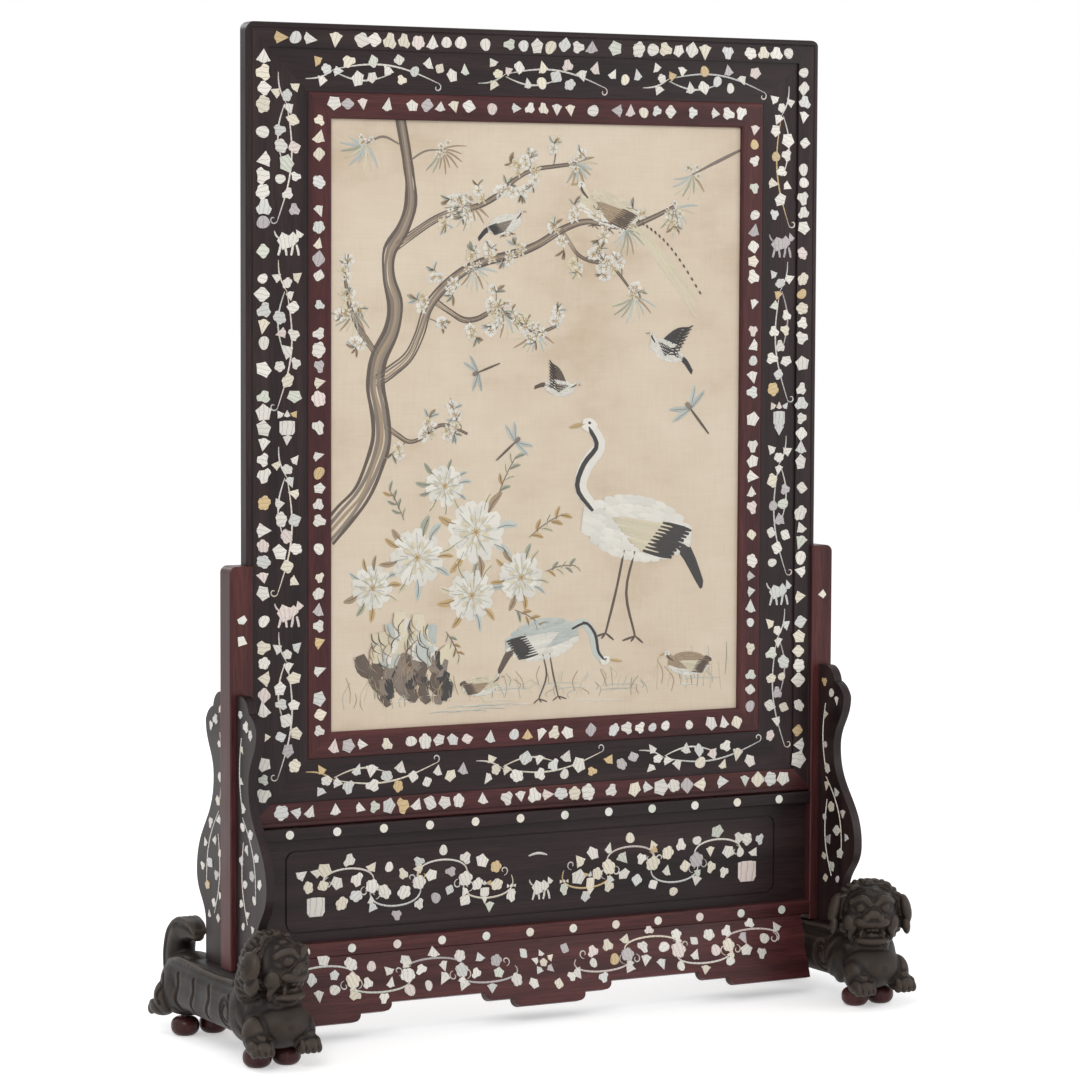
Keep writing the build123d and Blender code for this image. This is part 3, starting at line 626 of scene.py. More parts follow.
def bunch(bm, board, size, count=3):
    """A short row of leaves that stands between two motifs."""
    for i in range(count):
        x = (i - (count - 1) / 2) * size * 1.05
        add_leaf(bm, board, x, size * 0.22 * (-1) ** i, size, dice.uniform(-0.6, 0.6))


def little_beast(bm, board, size):
    """A running animal cut from shell: body, head, four legs and a tail."""
    tint = shell_tint()
    add_leaf(bm, board, -size * 0.12, 0, size * 0.8, 0.3, "shield", tint)
    add_leaf(bm, board, size * 0.26, size * 0.04, size * 0.66, 0, "kite", tint)
    add_leaf(bm, board, size * 0.56, size * 0.32, size * 0.5, 0.4, "fan", tint)
    for x, lean in ((-0.3, -0.12), (-0.12, 0.1), (0.28, -0.08), (0.45, 0.12)):
        add_strip(bm, board, arc_path(size * x, -size * 0.15, size * (x + lean), -size * 0.62, 0.3 * mm),
                  size * 0.14, 4, tint, taper=0.7)
    tail = arc_path(-size * 0.32, size * 0.1, -size * 0.6, size * 0.45, 1.2 * mm)
    add_strip(bm, board, tail, size * 0.1, 6, tint)


def urn(bm, board, size):
    """A footed vase with sprigs."""
    tint = shell_tint()
    add_leaf(bm, board, 0, 0, size, 0, "box", tint)
    add_leaf(bm, board, 0, -size * 0.62, size * 0.7, pi, "fan", tint)
    for x, turn in ((-0.42, 0.6), (0.0, 0.0), (0.42, -0.6)):
        add_leaf(bm, board, size * x, size * 0.72, size * 0.5, turn, "fan")


middle_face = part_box("frame_middle_top")[0].y
middle_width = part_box("frame_middle_left")[1].x - middle_low.x
middle_box_low = Vector((middle_low.x, 0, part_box("frame_middle_bottom")[0].z))
middle_box_high = Vector((middle_high.x, 0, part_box("frame_middle_top")[1].z))
line_low, line_high = shrink(middle_box_low, middle_box_high, middle_width * 0.52)
bm = start_piece()
across = line_high.x - line_low.x
up = line_high.z - line_low.z
for z, flip in ((line_high.z, 1), (line_low.z, -1)):
    for i in range(3):
        vine_motif(bm, face_board((i - 1) * across * 0.335, middle_face, z), across * 0.25, 12 * mm, flip)
    for i in (-1, 1):
        bunch(bm, face_board(i * across * 0.175 - 3 * mm, middle_face, z), 11.5 * mm)
for x, flip in ((line_low.x, 1), (line_high.x, -1)):
    for i in range(4):
        z = (line_low.z + line_high.z) / 2 + (1.5 - i) * up * 0.26
        vine_motif(bm, face_board(x, middle_face, z, -pi / 2), up * 0.2, 11 * mm, flip)
    for i, cut in enumerate((little_beast, urn, little_beast)):
        z = (line_low.z + line_high.z) / 2 + (1 - i) * up * 0.26
        cut(bm, face_board(x, middle_face, z), (19 if cut is little_beast else 16) * mm)
finish_piece(bm, "pearl_middle_vines", pearl, "screen", ["inlay_middle"])

# %% [markdown]
# The panel and the front apron have one long scroll each side of the middle. A scroll is a run of bows to
# alternate sides, and each change of side has a flower; leaves stand off the outside of each bow and
# tendrils curl inside it.

# %% Scrolls of the panel and the aprons


def round_bow(x0, x1, rise):
    """A bow fuller than a half circle, from one point of the axis to another."""
    def path(t):
        swell = 1 + 0.42 * sin(pi * t)
        return ((x0 + x1) / 2 - (x1 - x0) / 2 * cos(pi * t) * swell, rise * sin(pi * t))
    return path


def scroll(bm, board, start, end, lobes, rise, leaf):
    """A running vine from start to end, both X on the board; the sign of the run gives its hand."""
    step = (end - start) / lobes
    hand = 1 if step > 0 else -1
    for i in range(lobes):
        x0, x1 = start + i * step, start + (i + 1) * step
        side = 1 if i % 2 == 0 else -1
        wave = rise * dice.uniform(0.85, 1.0)
        add_stem(bm, board, round_bow(x0, x1, wave * side), 1.1, 26)
        middle = (x0 + x1) / 2
        for off, high, turn in ((-0.5, 1.0, 0.5), (0.02, 1.42, 0.0), (0.5, 1.0, -0.5), (-0.14, -0.78, 3.1),
                                (0.16, -0.45, 2.7), (-0.24, 0.3, 2.7), (0.18, 0.4, -2.8)):
            add_leaf(bm, board, middle + off * step, high * wave * side, leaf * dice.uniform(0.85, 1.12),
                     (turn if side > 0 else pi - turn) + dice.uniform(-0.3, 0.3))
        for at, high, reach in ((-0.42, 0.62, 5), (0.34, 0.0, 4.2)):
            tendril = hook_path(middle + at * step, high * wave * side, reach * mm, side * pi / 2, 0.9 * hand)
            add_stem(bm, board, tendril, 0.8, 16)
        if i > 0:
            add_leaf(bm, board, x0, 0, leaf * 1.25, dice.uniform(0, 1), "flower")
            add_leaf(bm, board, x0 - 0.02 * step, 0.62 * rise * side, leaf * 0.8, dice.uniform(0, 3), "fan")


panel_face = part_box("panel")[0].y
field_z = 126.5 * mm
bm = start_piece()
board = face_board(0, panel_face, field_z)
for hand in (-1, 1):
    pot = 212 * mm
    add_leaf(bm, board, hand * pot, -14 * mm, 21 * mm, 0, "box")
    for x, y, turn in ((-7, 3, 0.4), (7, 3, -0.4), (0, 15, 1.2), (13, 14, -0.9)):
        add_leaf(bm, board, hand * (pot + x * mm), y * mm, 12 * mm, turn)
    scroll(bm, board, hand * (pot - 8 * mm), hand * 26 * mm, 4, 19 * mm, 12.5 * mm)
    urn(bm, face_board(hand * 52 * mm, panel_face, field_z - 13 * mm), 11 * mm)
    urn(bm, face_board(hand * 26 * mm, panel_face, field_z - 15 * mm), 8 * mm)
little_beast(bm, face_board(2 * mm, panel_face, field_z - 13 * mm), 17 * mm)
add_strip(bm, board, arc_path(-9 * mm, 15 * mm, 9 * mm, 15 * mm, 2 * mm), 2.6 * mm, 8)
finish_piece(bm, "pearl_panel_scroll", pearl, "stand", ["inlay_panel"])

apron_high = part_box("apron_front")[1]
apron_lean = radians(17.2)
apron_top = Vector((0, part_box("lower_rail")[0].y, apron_high.z))
apron_board = Matrix.Translation(apron_top) @ face_board(0, 0, 0) @ Matrix.Rotation(-apron_lean, 4, "X")
bm = start_piece()
scroll_board = apron_board @ Matrix.Translation((0, -21 * mm, 0))
for hand in (-1, 1):
    scroll(bm, scroll_board, hand * 236 * mm, hand * 30 * mm, 4, 14 * mm, 12 * mm)
add_flower(bm, scroll_board, -2 * mm, 0, 10 * mm, 5, 0.5)
for x, y, turn in ((-14, -17, 0.3), (10, -20, -0.4), (24, -14, 1.0), (20, 10, -0.6), (-20, 9, 0.8)):
    add_leaf(bm, scroll_board, x * mm, y * mm, 10.5 * mm, turn)
finish_piece(bm, "pearl_apron_scroll", pearl, "stand", ["inlay_apron"])

# %% [markdown]
# The side plates carry loose sprays on both faces: a few leaves at the shoulder, a thin stem down the
# waist, and a spray that fills the belly. One layout in distances from the post serves all four plates.

# %% Sprays of the side plates
plate_low, plate_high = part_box("spandrel_right_front")
plate_leaves = ((20, 281, 9), (31, 272, 11), (40, 266, 9), (23, 252, 8), (22, 225, 9), (26, 204, 10),
                (25, 188, 11), (41, 184, 11), (33, 170, 10), (52, 166, 10), (22, 160, 9), (43, 150, 12),
                (58, 145, 9), (29, 141, 11), (48, 130, 10), (22, 124, 9), (35, 117, 10), (44, 106, 8),
                (25, 105, 9))
plate_stems = (((22, 262), (24, 200), -5), ((24, 196), (50, 128), 9), ((26, 176), (34, 108), -7))
bm = start_piece()
for x, normal in ((plate_low.x, -1), (plate_high.x, 1), (-plate_low.x, 1), (-plate_high.x, -1)):
    board = side_board(x, normal)
    for end in (-1, 1):
        hand = end * normal
        for (y0, z0), (y1, z1), bow in plate_stems:
            stem = arc_path(hand * y0 * mm, z0 * mm, hand * y1 * mm, z1 * mm, hand * bow * mm)
            add_stem(bm, board, stem, 1.0, 18)
        for y, z, size in plate_leaves:
            add_leaf(bm, board, hand * y * mm, z * mm, size * mm, dice.uniform(0, 6))
finish_piece(bm, "pearl_plate_sprays", pearl, "stand", ["inlay_spandrels"])

# %% [markdown]
# Each foot is a guardian lion carved from one block: a long barrel of a body under the post, the head turned
# inwards in a thick mane, small paws, and a tail that curls up behind. A carver roughs out round masses and
# then cuts lines. This does the same: balls and tapered rolls are set where the masses are, a voxel remesh
# welds them into one skin, and then the skin's points are pushed in along the cut lines.

# %% Rough out the lion
lion_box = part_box("lion_foot_right")
lion_post_x = 289.0
lion_turn = radians(26)
head_y = -84.0
head_z = 81.0


def ball(bm, fine, radius, place):
    work = bmesh.new()
    bmesh.ops.create_icosphere(work, subdivisions=fine, radius=radius, matrix=place)
    add_work(bm, work)


def with_ends(points):
    """The points as vectors, with one more beyond each end for a smooth line to aim at."""
    spots = [Vector(p) for p in points]
    return [2 * spots[0] - spots[1]] + spots + [2 * spots[-1] - spots[-2]]


def smooth_spot(spots, k, u):
    """The place at share u of span k on a smooth line through the spots."""
    a, b, c, d = spots[k:k + 4]
    return 0.5 * (2 * b + (c - a) * u + (2 * a - 5 * b + 4 * c - d) * u * u
                  + (3 * b - a - 3 * c + d) * u ** 3)


def blob(bm, x, y, z, rx, ry, rz, turn=0.0, tilt=0.0):
    """An egg in the lion's own millimetres: x from the post's plane, y to the rear, z up."""
    place = Matrix.Translation((x, y, z)) @ Matrix.Rotation(turn, 4, "Z") @ Matrix.Rotation(tilt, 4, "Y")
    fine = 3 + (max(rx, ry, rz) > 7) + (max(rx, ry, rz) > 18)
    ball(bm, fine, 1.0, place @ Matrix.Diagonal((rx, ry, rz, 1)))


def roll(bm, points, radii, steps=10):
    """A rounded roll along a smooth line, built from close eggs."""
    count = len(points) - 1
    spots = with_ends(points)
    for i in range(count * steps + 1):
        k = min(i // steps, count - 1)
        t = i / steps - k
        here = smooth_spot(spots, k, t)
        radius = radii[k] + (radii[k + 1] - radii[k]) * t
        ball(bm, 3 if radius > 5 else 2, radius, Matrix.Translation(here))


def head_spot(side, out, up):
    """Place on the turned head: side to its left ear, out along its nose, up from its middle."""
    c, s = cos(lion_turn), sin(lion_turn)
    return side * c - out * s, head_y - side * s - out * c, head_z + up


def head_blob(bm, side, out, up, rs, ro, ru, tilt=0.0):
    blob(bm, *head_spot(side, out, up), rs, ro, ru, -lion_turn, tilt)


def head_roll(bm, side, places, radii, steps=8):
    """A roll on one side of the head through places given as (side, out, up)."""
    roll(bm, [head_spot(side * aside, out, up) for aside, out, up in places], radii, steps)


def curl(bm, side, out, up, size, hand):
    """A snail curl of the mane: a roll that winds in and stands proud in the middle."""
    turns = 9
    points = []
    for i in range(turns + 1):
        angle = hand * i * 0.75
        reach = size * (1 - i / (turns + 2))
        points.append(head_spot(side + reach * cos(angle), out + i * 0.12, up + reach * sin(angle)))
    roll(bm, points, [size * 0.34] * len(points), 3)


def rough_body(bm):
    """Barrel, shoulders, haunches, spine edges and belly."""
    barrel = Matrix.Translation((0, 0, 43)) @ Matrix.Diagonal((52, 196, 45, 1))
    rounding = 17
    made = bmesh.ops.create_cube(bm, size=1.0, matrix=barrel)
    edges = list({edge for v in made["verts"] for edge in v.link_edges})
    bmesh.ops.bevel(bm, geom=edges, offset=rounding, segments=5, profile=0.5, affect="EDGES", material=-1)
    blob(bm, 0, -70, 42, 29, 36, 26)
    blob(bm, -3, -92, 36, 26, 22, 20)
    blob(bm, 0, 74, 43, 28, 38, 26)
    for side in (-1, 1):
        blob(bm, side * 13, -66, 42, 16, 26, 25)
        blob(bm, side * 12, 70, 40, 16, 30, 23)
        roll(bm, ((side * 17, -46, 63), (side * 18, -10, 62), (side * 18, 30, 63), (side * 17, 66, 64),
                  (side * 13, 98, 58)), (3.4, 3.2, 3.2, 3.6, 3.0), 9)


def rough_legs(bm):
    """Short legs with broad paws; four toes on each paw, and a ring of fur over it."""
    for end, tip in ((-1, 117.5), (1, 109.5)):
        for side in (-1, 1):
            x = side * 21
            blob(bm, x, end * (tip - 22), 30, 10.5, 13, 15)
            blob(bm, x, end * (tip - 14), 20.5, 11, 13, 8)
            for toe in range(4):
                spread = (toe - 1.5) * 5.1
                blob(bm, x + spread, end * (tip - 5.5 - abs(spread) * 0.25), 18.0, 2.7, 5.5, 5.2)
                blob(bm, x + spread, end * (tip - 11), 22.5, 2.4, 7, 4.6)
            fur = ((x - 10, end * (tip - 24), 29), (x, end * (tip - 8), 29), (x + 10, end * (tip - 24), 29))
            roll(bm, fur, (2.0, 2.4, 2.0), 8)
        blob(bm, 0, end * (84 if end < 0 else 68), 22, 25, 12, 6)


def rough_head(bm):
    """Mane hood, skull, brows, eyes, broad nose, open mouth with teeth, jaw, beard and hanging ears."""
    for out, up, *radii in ((-7, 0, 32.5, 13.5, 31), (-14, -12, 27, 14, 24), (5, 3, 25, 19, 23),
                            (12, 8, 21, 15, 15), (22, -3.5, 15.5, 9.5, 6.5), (25, 3, 7.5, 7.5, 6.5)):
        head_blob(bm, 0, out, up, *radii)
    for side in (-1, 1):
        head_blob(bm, side * 5.2, 28, 1.0, 4.2, 4.2, 3.6)
        head_blob(bm, side * 9.5, 23.5, 9.5, 5.4, 5.0, 5.0)
        head_roll(bm, side, ((2.5, 27, 12), (9.5, 25.5, 17.5), (18, 18, 13.5)), (2.8, 3.4, 2.6))
        head_blob(bm, side * 17.5, 13, -5, 7, 8, 9)
        head_roll(bm, side, ((15.5, 17, -9), (18, 12, -17), (14, 9, -25)), (3.4, 3.0, 2.2), 7)
        head_blob(bm, side * 31.5, 2, 5, 5.2, 10, 13, side * -0.22)
        head_blob(bm, side * 32.0, 4, -9, 3.8, 7.5, 9, side * -0.1)
        head_roll(bm, side, ((11, 12, -22), (8.5, 13, -31), (6, 11, -38)), (5.5, 5.0, 2.0))
    head_blob(bm, 0, 17.5, -21, 15, 11, 4.6)
    head_blob(bm, 0, 12, -26, 13, 9, 7)
    head_blob(bm, 0, 16, -15.5, 8, 9, 2.2)
    for i in range(7):
        side = (i - 3) * 3.6
        head_blob(bm, side, 25.5 - 0.11 * side * side, -10.2, 1.6, 1.8, 2.6)
    for side in (-1, 1):
        head_blob(bm, side * 10, 20.5, -14.5, 1.7, 1.7, 3.2)


def rough_mane(bm):
    """Two rows of snail curls over the brow and down the cheeks, and locks behind them."""
    for i in range(9):
        angle = radians(-28 + 29.5 * i)
        curl(bm, 25 * cos(angle), 3, 1 + 25 * sin(angle), 6.0, 1 if i < 4 else -1)
    for i in range(6):
        angle = radians(28 + 25 * i)
        curl(bm, 16.5 * cos(angle), 14, 3 + 17 * sin(angle), 4.6, 1 if i < 3 else -1)


def rough_tail(bm):
    """A tail that rises behind the haunches and hooks forward, with flame locks on its outside."""
    roll(bm, ((0, 96, 36), (0, 104, 50), (0, 105, 68), (0, 98, 82), (0, 82, 86), (0, 68, 84)),
         (15, 13, 12.5, 12, 9, 5.5), 8)
    for side in (-9, -3.2, 3.2, 9):
        roll(bm, ((side, 108, 32), (side * 1.05, 113.5, 50), (side, 114, 68), (side * 0.9, 108, 84),
                  (side * 0.8, 92, 94), (side * 0.6, 74, 93), (side * 0.5, 64, 87)),
             (3.0, 3.4, 3.6, 3.6, 3.2, 2.8, 2.0), 8)


bm = bmesh.new()
for rough in (rough_body, rough_legs, rough_head, rough_mane, rough_tail):
    rough(bm)
    print(rough.__name__, "points:", len(bm.verts))
bmesh.ops.scale(bm, vec=(mm, mm, mm), verts=bm.verts)
bmesh.ops.translate(bm, vec=(lion_post_x * mm, 0, 0), verts=bm.verts)
rough_mesh = bpy.data.meshes.new("lion_rough")
bm.to_mesh(rough_mesh)
bm.free()

# %% [markdown]
# The remesh keeps what is outside and drops every inner wall. A little smoothing takes off the lumps that
# close eggs leave, as a scraper would.

# %% Weld the masses into one skin
import numpy as np

weld_size = 1.15 * mm


def weld(mesh, voxel, smoothing):
    """One closed skin round all the parts of a mesh."""
    rough = add_object("rough", mesh)
    remesh = rough.modifiers.new("weld", "REMESH")
    remesh.mode = "VOXEL"
    remesh.voxel_size = voxel
    smooth = rough.modifiers.new("scrape", "SMOOTH")
    smooth.factor = 0.5
    smooth.iterations = smoothing
    bpy.context.view_layer.update()
    skin = bpy.data.meshes.new_from_object(rough.evaluated_get(bpy.context.evaluated_depsgraph_get()))
    bpy.data.objects.remove(rough)
    return skin


lion_skin = weld(rough_mesh, weld_size, 2)
print("lion skin points:", len(lion_skin.vertices))

# %% [markdown]
# Cut lines are given as short lists of places on the flank: three tall waves behind the shoulder and a
# spiral on it. Every point of the skin is pushed in by a rounded groove according to its distance from
# the nearest line. Fine locks on the mane are a wave of the angle round the head.

# %% Cut the lines
groove_depth = 1.9
groove_width = 1.5


def wave_line(y, low, high, swing):
    """A tall wavy cut at about y."""
    return [(y + swing * sin(2 * pi * t), low + (high - low) * t) for t in np.linspace(0, 1, 40)]


def spiral_line(y, z, reach_y, reach_z, turns):
    angles = np.linspace(0, 2 * pi * turns, 90)
    shares = 1 - 0.62 * angles / angles[-1]
    return [(y + reach_y * share * cos(a + 2), z + reach_z * share * sin(a + 2))
            for a, share in zip(angles, shares)]


def read_rows(items, field, width, kind="f"):
    """One row of numbers for each point, normal or edge."""
    values = np.empty(len(items) * width, kind)
    items.foreach_get(field, values)
    return values.reshape(-1, width)


cut_lines = [wave_line(y, 24, 55, 3.4) for y in (54, 22, -10)]
cut_lines.append(spiral_line(-46, 40, 12, 15, 1.9))
cut_lines.append(wave_line(82, 26, 50, 3.0))
flank = (read_rows(lion_skin.vertices, "co", 3) - (lion_post_x * mm, 0, 0)) / mm
cuts = np.array([spot for line in cut_lines for spot in line], "f")
nearest = np.full(len(flank), 99.0, "f")
for y, z in cuts:
    nearest = np.minimum(nearest, np.hypot(flank[:, 1] - y, flank[:, 2] - z))
side_share = np.clip((np.abs(flank[:, 0]) - 16) / 6, 0, 1)
groove = groove_depth * np.exp(-(nearest / groove_width) ** 2) * side_share
flank[:, 0] -= np.sign(flank[:, 0]) * groove

out = -(flank[:, 0]) * sin(lion_turn) - (flank[:, 1] - head_y) * cos(lion_turn)
side = flank[:, 0] * cos(lion_turn) - (flank[:, 1] - head_y) * sin(lion_turn)
rise = flank[:, 2] - head_z
radius = np.hypot(side, rise)
around = np.arctan2(rise, side)
hood = np.clip((radius - 19) / 6, 0, 1) * np.clip((1 - out) / 4, 0, 1) * np.clip((out + 24) / 5, 0, 1)
locks = 0.75 * hood * np.sin(30 * around + 0.25 * out)
flank[:, 0] += locks * np.cos(around) * cos(lion_turn)
flank[:, 1] -= locks * np.cos(around) * sin(lion_turn)
flank[:, 2] += locks * np.sin(around)
flank[:, 2] = np.maximum(flank[:, 2], 12.0)
skin_points = flank * mm + (lion_post_x * mm, 0, 0)
low, high = lion_box
skin_points = np.clip(skin_points, np.array(low) + 1e-4, np.array(high) - 1e-4)
lion_skin.vertices.foreach_set("co", skin_points.astype("f").ravel())
lion_skin.update()
print("deepest cut:", round(float(groove.max()), 2), "mm")

# %% [markdown]
# Dust settles in the hollows of a carving, and its high places are lighter: partly wear where hands polish
# them, partly a painted highlight. How far a point lies under the average of its neighbours tells hollow from
# ridge, and is kept as a vertex value for the finish to read.

# %% Hollows and ridges
def mark_hollows(mesh):
    """Vertex value hollow: 1 in a hollow, 0 on a ridge, 0.5 on the flat."""
    spots = read_rows(mesh.vertices, "co", 3)
    normals = read_rows(mesh.vertex_normals, "vector", 3)
    one, other = read_rows(mesh.edges, "vertices", 2, "i").T
    count = len(spots)
    links = np.maximum(np.bincount(one, None, count) + np.bincount(other, None, count), 1)

    def summed(values):
        """For each point, the sum of its neighbours' values."""
        return np.bincount(one, values[other], count) + np.bincount(other, values[one], count)

    value = np.zeros(count)
    for axis in range(3):
        value += (summed(spots[:, axis]) / links - spots[:, axis]) * normals[:, axis]
    for _ in range(7):
        value = 0.4 * value + 0.6 * summed(value) / links
    layer = mesh.attributes.new("hollow", "FLOAT", "POINT")
    layer.data.foreach_set("value", np.clip(0.5 + value / (0.11 * mm), 0, 1).astype("f"))


def carved_wood():
    """Near-black carved wood, with pale dust in the hollows and a lighter brown on the ridges that is partly
    wear and partly a painted highlight.
    """
    material, tree, shader = new_material("carved_dark_wood")
    hollow = attribute(tree, "hollow")["Fac"]
    # painted highlight: the light brown on the ridges stands partly for wear and partly for highlights; the
    # pale tone in the hollows is dust
    colour = ramp(tree, hollow, ((0.2, (0.062, 0.046, 0.036)), (0.42, (0.017, 0.012, 0.010)),
                                 (0.58, (0.013, 0.009, 0.008)), (0.9, (0.030, 0.021, 0.016))))
    cloud = ramp(tree, object_noise(tree, 60, 5, 0.6, (1, 0.4, 1)),
                 ((0.3, (0.62, 0.6, 0.58)), (0.65, (1, 1, 1))))
    polish = uneven(tree, object_noise(tree, 35, 3, 0.5), 0.36, 0.6)
    feed(tree, shader, {"Base Color": multiply(tree, colour, cloud, 0.8), "Roughness": polish,
                        "Specular IOR Level": 0.2})
    bump(tree, shader, object_noise(tree, 700, 3, 0.6, (1, 0.3, 1)), 0.25, 0.0004)
    return material


mark_hollows(lion_skin)
carving = carved_wood()
for name, mirrored in (("lion_right", False), ("lion_left", True)):
    skin = lion_skin.copy()
    if mirrored:
        skin.transform(Matrix.Diagonal((-1, 1, 1, 1)))
        skin.flip_normals()
    skin.materials.clear()
    skin.materials.append(carving)
    skin.polygons.foreach_set("use_smooth", [True] * len(skin.polygons))
    lion = add_object(name, skin)
    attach(lion, "stand")
    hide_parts("lion_foot_left" if mirrored else "lion_foot_right")
    print(name, "faces:", len(skin.polygons))

# %% [markdown]
# The picture's ground is plain silk, stretched and sewn over the bars behind the inner frame. It is one thin
# sheet; age has left a few slack ripples near its top and faint brown stains. The weave is two sets of fine
# threads that cross, and long soft noise gives the stains.

# %% Silk ground
silk_low, silk_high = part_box("embroidered_silk")
silk_width = silk_high.x - silk_low.x
silk_height = silk_high.z - silk_low.z
silk_middle = Vector((0, silk_low.y, (silk_low.z + silk_high.z) / 2))
ripple = 0.5 * mm


def silk_material():
    material, tree, shader = new_material("silk_ground")
    stains = ramp(tree, object_noise(tree, 7, 6, 0.62, (1, 1, 1.6)),
                  ((0.28, (0.60, 0.47, 0.33)), (0.46, (0.72, 0.60, 0.46)), (0.62, (0.76, 0.65, 0.51))))
    colour = stains
    for stretch in ((1, 1, 0.04), (0.04, 1, 1)):  # warp, then weft
        threads = object_noise(tree, 900, 2, 0.5, stretch)
        shade = ramp(tree, threads, ((0.3, (0.93, 0.92, 0.91)), (0.6, (1, 1, 1))))
        colour = multiply(tree, colour, shade, 0.45)
    feed(tree, shader, {"Base Color": colour, "Roughness": 0.62, "Sheen Weight": 0.25})
    bump(tree, shader, threads, 0.2, 0.0002)
    return material


bm = start_piece()
grid = bmesh.ops.create_grid(bm, x_segments=90, y_segments=116, size=0.5)["verts"]
for v in grid:
    x, y = v.co.x * silk_width, v.co.y * silk_height
    high = 3.2 * max(0.0, v.co.y - 0.05) ** 1.5
    slack = noise.noise(Vector((x * 9, y * 42, 3.0))) + 0.5 * noise.noise(Vector((x * 30, y * 60, 7.0)))
    v.co = Vector((x, y, ripple * (0.35 + high) * slack))
bmesh.ops.transform(bm, matrix=face_board(*silk_middle), verts=bm.verts)
silk = finish_piece(bm, "silk_ground_sheet", silk_material(), "screen", ["embroidered_silk"],
                    smooth=True)

# %% [markdown]
# The embroidery is satin stitch: each petal, feather or length of bark is one patch of parallel silk threads
# that swells a little over the ground. So the whole picture is built from one kind of piece, a low rounded
# band along a bent line, and a thread finish whose fine ridges run along each band.

# %% Stitches
def thread_material():
    material, tree, shader = new_material("embroidery_thread")
    tint = attribute(tree, "tint")["Color"]
    uv = add_node(tree, "UVMap")["UV"]
    ridges = add_node(tree, "TexWave", {"Vector": uv, "Scale": 2.2, "Distortion": 1.2},
                      bands_direction="Y")["Fac"]
    shade = ramp(tree, ridges, ((0.0, (0.72, 0.7, 0.68)), (0.5, (1, 1, 1))))
    feed(tree, shader, {"Base Color": multiply(tree, tint, shade, 0.6), "Roughness": 0.42,
                        "Sheen Weight": 0.3})
    bump(tree, shader, ridges, 0.35, 0.0003)
    return material


white = (0.84, 0.81, 0.73)
cream = (0.76, 0.68, 0.50)
ochre = (0.60, 0.42, 0.20)
tan = (0.42, 0.31, 0.20)
bark_grey = (0.26, 0.21, 0.17)
brown = (0.12, 0.085, 0.06)
ink = (0.03, 0.025, 0.022)
sage = (0.42, 0.43, 0.33)
mist = (0.56, 0.60, 0.56)
needle = random.Random(5)
silk_board = face_board(*silk_middle)
stitch_rise = 0.55 * mm
picture = start_piece()
thread = thread_material()


def shaded(tone, spread=0.08):
    shade = 1 + needle.uniform(-spread, spread)
    return tuple(min(1.0, c * shade) for c in tone) + (1.0,)


def along(points):
    """A smooth path through points, for t from 0 to 1, in the picture's millimetres."""
    spots = with_ends(points)
    spans = len(points) - 1

    def path(t):
        k = min(int(t * spans), spans - 1)
        return smooth_spot(spots, k, t * spans - k) * mm
    return path


def patch(points, width, tone, taper=0.0, steps=8, lift=0.0, across=2):
    board = silk_board @ Matrix.Translation((0, 0, lift * mm))
    add_strip(picture, board, along(points), width * mm, steps, shaded(tone), stitch_rise, taper, across)


def away(x, y, angle, reach):
    """The spot at that distance from (x, y), at that angle in degrees."""
    a = radians(angle)
    return x + reach * cos(a), y + reach * sin(a)


def petal(x, y, length, width, angle, tone, bend=0.0, lift=0.0, taper=0.12, steps=6):
    """A patch from (x, y) at that angle in degrees; bend is its sideways bow, a share of its length."""
    a = radians(angle)
    ux, uy = cos(a), sin(a)
    mid = (x + ux * length / 2 - uy * bend * length, y + uy * length / 2 + ux * bend * length)
    patch(((x, y), mid, (x + ux * length, y + uy * length)), width, tone, taper, steps, lift)


def sewn(name):
    """Close the present work as one piece of embroidery and begin the next."""
    global picture
    finish_piece(picture, name, thread, "screen", (), smooth=True)
    picture = start_piece()


print("thread finish:", thread.name)

# %% [markdown]
# Blossoms, peonies and leaves are rings of petals. A peony has wide petals outside and small upright ones
# inside, each ring a little higher and creamier than the one before it.

# %% Flowers and leaves
def blossom(x, y, size, tone=white):
    start = needle.uniform(0, 72)
    for i in range(5):
        petal(x, y, size, size * 0.85, start + 72 * i, tone, lift=0.1)
    for i in range(5):
        petal(x, y, size * 0.5, 0.7, start + 36 + 72 * i, ochre, lift=0.45, steps=3)
    petal(x - 0.8, y, 1.6, 1.6, 0, ochre, lift=0.5, steps=3)


def leaf(x, y, length, angle, tone, vein=brown):
    petal(x, y, length, length * 0.42, angle, tone, bend=0.08)
    petal(x, y, length * 0.85, 0.6, angle, vein, bend=0.08, lift=0.45, steps=4)


peony_rings = ((11, 1.0, 0.55, white), (9, 0.78, 0.5, white), (8, 0.56, 0.4, cream), (7, 0.36, 0.28, white),
               (5, 0.2, 0.18, cream))


def peony(x, y, radius):
    for ring, (count, reach, width, tone) in enumerate(peony_rings):
        start = needle.uniform(0, 90)
        for i in range(count):
            angle = start + 360 * i / count + needle.uniform(-6, 6)
            root = away(x, y, angle, radius * reach * 0.25)
            petal(*root, radius * reach * 0.75, radius * width, angle, tone,
                  bend=needle.uniform(-0.12, 0.12), lift=0.15 + 0.22 * ring, taper=0.3)
            if ring < 3:
                petal(*root, radius * reach * 0.6, 0.7, angle + 8, mist, lift=0.62 + 0.22 * ring, steps=4)
    for i in range(9):
        petal(x, y, radius * 0.16, 1.0, 40 * i, ochre, lift=1.3, steps=3)


def spray(x, y, angle, length, tones, count=7):
    """A twig with pairs of leaves."""
    middle_x, middle_y = away(x, y, angle, length / 2)
    patch(((x, y), (middle_x, middle_y + 2), away(x, y, angle, length)), 1.3, bark_grey, 0.4, 8)
    for i in range(count):
        t = (i + 0.6) / count
        side = 1 if i % 2 else -1
        leaf(*away(x, y, angle, length * t), length * 0.3, angle + side * 42, needle.choice(tones))


print("petals of a peony:", sum(ring[0] for ring in peony_rings))

# %% [markdown]
# The old tree leans in from the left edge and its long branch crosses the top. Bark is several bands side
# by side in greys and browns. Twigs leave each branch along its length and carry blossom and young leaves.

